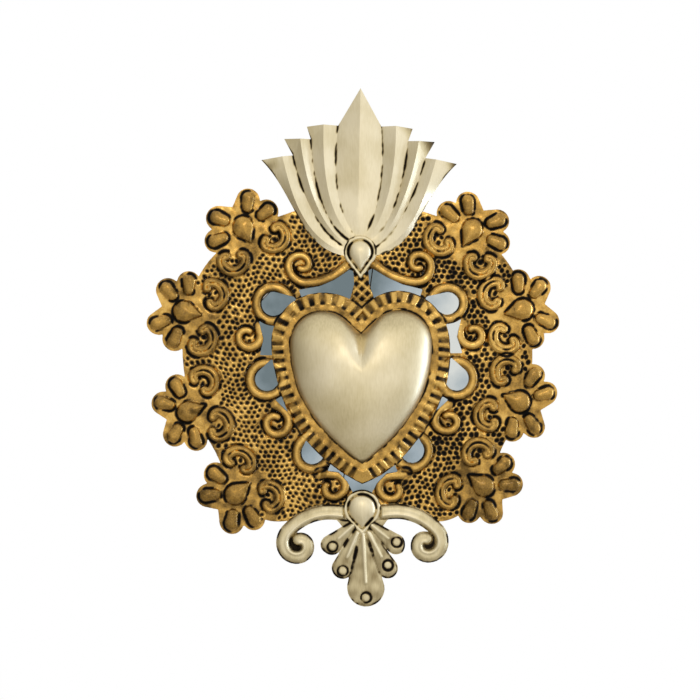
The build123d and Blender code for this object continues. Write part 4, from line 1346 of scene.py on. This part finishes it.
steps = np.gradient(arm, axis=0)
steps /= np.hypot(*steps.T)[:, None]
inner_edge = arm + RIDGE_OFFSET * np.column_stack((steps[:, 1], -steps[:, 0]))
depth, half = in_arm(right)
beside = ramp(right[:, 0], ARM_CLEAR, ARM_FULL)
sheet.swell(everywhere, depth, ARM_ROUND * half, ARM_RISE * beside)
sheet.rub(everywhere, ARM_RUB * np.clip(depth / half, 0, 1))
ridge = np.exp(-(to_line(right, inner_edge)[0] / RIDGE_WIDTH) ** 2) * beside
sheet.height += RIDGE_RISE * ridge
sheet.rub(everywhere, RIDGE_RUB * ridge)
sheet.line(everywhere, depth + ARM_FOOT_GAP, width=0.5, depth=0.2, tone=1.1, cover=0.4)
in_curl = np.hypot(*(right - CURL).T) < CURL_RADIUS + CURL_MARGIN
sheet.shade(everywhere, CURL_TONE * ramp(depth, *CURL_DEPTHS) * in_curl)
print("arms rise", ARM_RISE, "mm")

# %% Make the pendant
# The leaves lean to the right, more towards their ends. The arms, farther out, don't.
LEAN, LEAN_Y, LEAN_X = 1.7, (-84.0, -124.0), (24, 21)
PUNCH_RADIUS, PUNCH_LINE, PUNCH_INNER, PUNCH_RUB = 2.7, 0.6, 2.0, 0.5
PUNCHES = ((-16.5, -100.0), (-11.1, -113.1), (1.4, -127.7), (13.4, -110.3), (18.3, -97.8))

lean = LEAN * ramp(points[:, 1], *LEAN_Y) * ramp(np.abs(points[:, 0]), *LEAN_X)
leaned = points + np.column_stack((lean, np.zeros(len(points)))) + PENDANT_SHIFT
for place in PUNCHES:
    gap = np.hypot(*(leaned - place).T)
    sheet.line(everywhere, gap - PUNCH_RADIUS, width=PUNCH_LINE, depth=0.5, tone=1.4, cover=1.6)
    sheet.rub(everywhere, PUNCH_RUB * np.clip(PUNCH_INNER - gap, 0, 1))
pendant = make_sheet("palmette_pendant", leaned, sheet.height, faces, sheet.tone, GROUND,
                     (silver, tinplate))
fix(pendant, "pendant_sheet")

# %% [markdown]
# ## Mirror, card and back
#
# Two offcuts of old mirror lie behind the piercings. Their silvering has clouded, so they are a cool
# grey rather than clear, and painted shade darkens their upper left and painted light brightens
# their upper right. Card and a folded tin pan hold them, and a wire ring hangs in a strap. These
# nodes keep the model's own shape and take a finish.

# %% Old mirror glass
MIRROR_STOPS = ((0.2, "#6F7C80"), (0.5, "#9FACB3"), (0.85, "#D6D9D5"))
MIRROR_PATCH = 30.0
# How far painted shade on the left and painted light on the right shift the tone, across these x
# and growing over these heights.
PAINTED_SHADE_LEFT, PAINTED_LIGHT_RIGHT = -0.34, 0.36
PAINTED_LIGHT_X, PAINTED_LIGHT_Z = (0.0, 50 * MM), (-60 * MM, 30 * MM)

# Clouded mirror: cool, reflecting and a little blurred, with painted shade at the upper left and
# painted light at the upper right.
mirror, tree, shader = new_material("clouded_mirror_with_painted_light")
place = add(tree, "TexCoord").outputs["Object"]
cloud = add(tree, "TexNoise", {"Vector": place, "Scale": 1 / (MIRROR_PATCH * MM), "Detail": 4.0})
side = add(tree, "SeparateXYZ", {"Vector": place})
across = add(tree, "MapRange", {"Value": side.outputs["X"], "From Min": PAINTED_LIGHT_X[0],
                                "From Max": PAINTED_LIGHT_X[1], "To Min": PAINTED_SHADE_LEFT,
                                "To Max": PAINTED_LIGHT_RIGHT})
painted_light_share = add(tree, "MapRange", {"Value": side.outputs["Z"], "From Min": PAINTED_LIGHT_Z[0],
                               "From Max": PAINTED_LIGHT_Z[1]})
# Painted shade on the left and painted light on the right, full at the top and gone at the bottom.
shift = add(tree, "Math", {0: across.outputs["Result"], 1: painted_light_share.outputs["Result"]},
            operation="MULTIPLY")
tone = add(tree, "Math", {0: cloud.outputs["Fac"], 1: shift.outputs[0]},
           operation="ADD", use_clamp=True)
tint = add(tree, "ValToRGB", {"Fac": tone.outputs[0]}, MIRROR_STOPS)
tree.links.new(tint.outputs["Color"], shader.inputs["Base Color"])
shader.inputs["Metallic"].default_value = 1.0
shader.inputs["Roughness"].default_value = 0.12
print(mirror.name, "has", len(tree.nodes), "nodes")

# %% Card
CARD_STOPS = ((0.3, "#6F5F49"), (0.7, "#8F7C60"))
# Fibres of card are finer than this, and are drawn coarser so that the fleck shows.
CARD_FIBRE = 1.5

# Grey board: matt and brown, with the soft fleck of pulped fibre.
card, tree, shader = new_material("grey_board")
place = add(tree, "TexCoord").outputs["Object"]
fibre = add(tree, "TexNoise", {"Vector": place, "Scale": 1 / (CARD_FIBRE * MM), "Detail": 6.0})
tint = add(tree, "ValToRGB", {"Fac": fibre.outputs["Fac"]}, CARD_STOPS)
tree.links.new(tint.outputs["Color"], shader.inputs["Base Color"])
shader.inputs["Roughness"].default_value = 0.95
print(card.name, "has", len(tree.nodes), "nodes")

# %% Wire and solder
WIRE_STOPS = ((0.0, "#A9ACAD"), (0.3, "#85888A"), (0.7, "#55575A"), (1.0, "#2B2C2E"))
SOLDER_STOPS = ((0.0, "#8E9194"), (0.3, "#6E7174"), (0.7, "#47494B"), (1.0, "#242526"))
WIRE_PATCH, SOLDER_PATCH = 6.0, 3.0
# Both grains are finer than this on the real metal, and drawn coarser so that they show.
WIRE_GRAIN, SOLDER_GRAIN = 0.5, 0.6

# Galvanised wire: cool grey zinc, drawn smooth, with a soft shine.
wire = metal_finish("galvanised_wire", WIRE_STOPS, roughness=(0.35, 0.7), patch=WIRE_PATCH,
                    grain=WIRE_GRAIN, bump=0.2, stain=0.08)
# Soft solder: a darker grey than tin, with the uneven skin of metal that set in a bead.
solder = metal_finish("soft_solder", SOLDER_STOPS, roughness=(0.4, 0.75), patch=SOLDER_PATCH,
                      grain=SOLDER_GRAIN, bump=0.5, stain=0.1)

# %% Finish the nodes that keep their shape
FINISHES = {
    mirror: ("mirror_left", "mirror_right"),
    card: ("backing_card",),
    tinplate: ("back_pan", "hanger_strap"),
    wire: ("hanger_ring",),
    solder: ("pan_solder", "flame_solder", "pendant_solder", "strap_solder"),
}
for finish, names in FINISHES.items():
    for name in names:
        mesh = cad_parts[name].data
        mesh.materials.clear()
        mesh.materials.append(finish)
        print(name, "takes", finish.name)

# %% [markdown]
# ## Finish
#
# The view transform is set to Standard, so that colours show as they are written.

bpy.context.scene.view_settings.view_transform = "Standard"
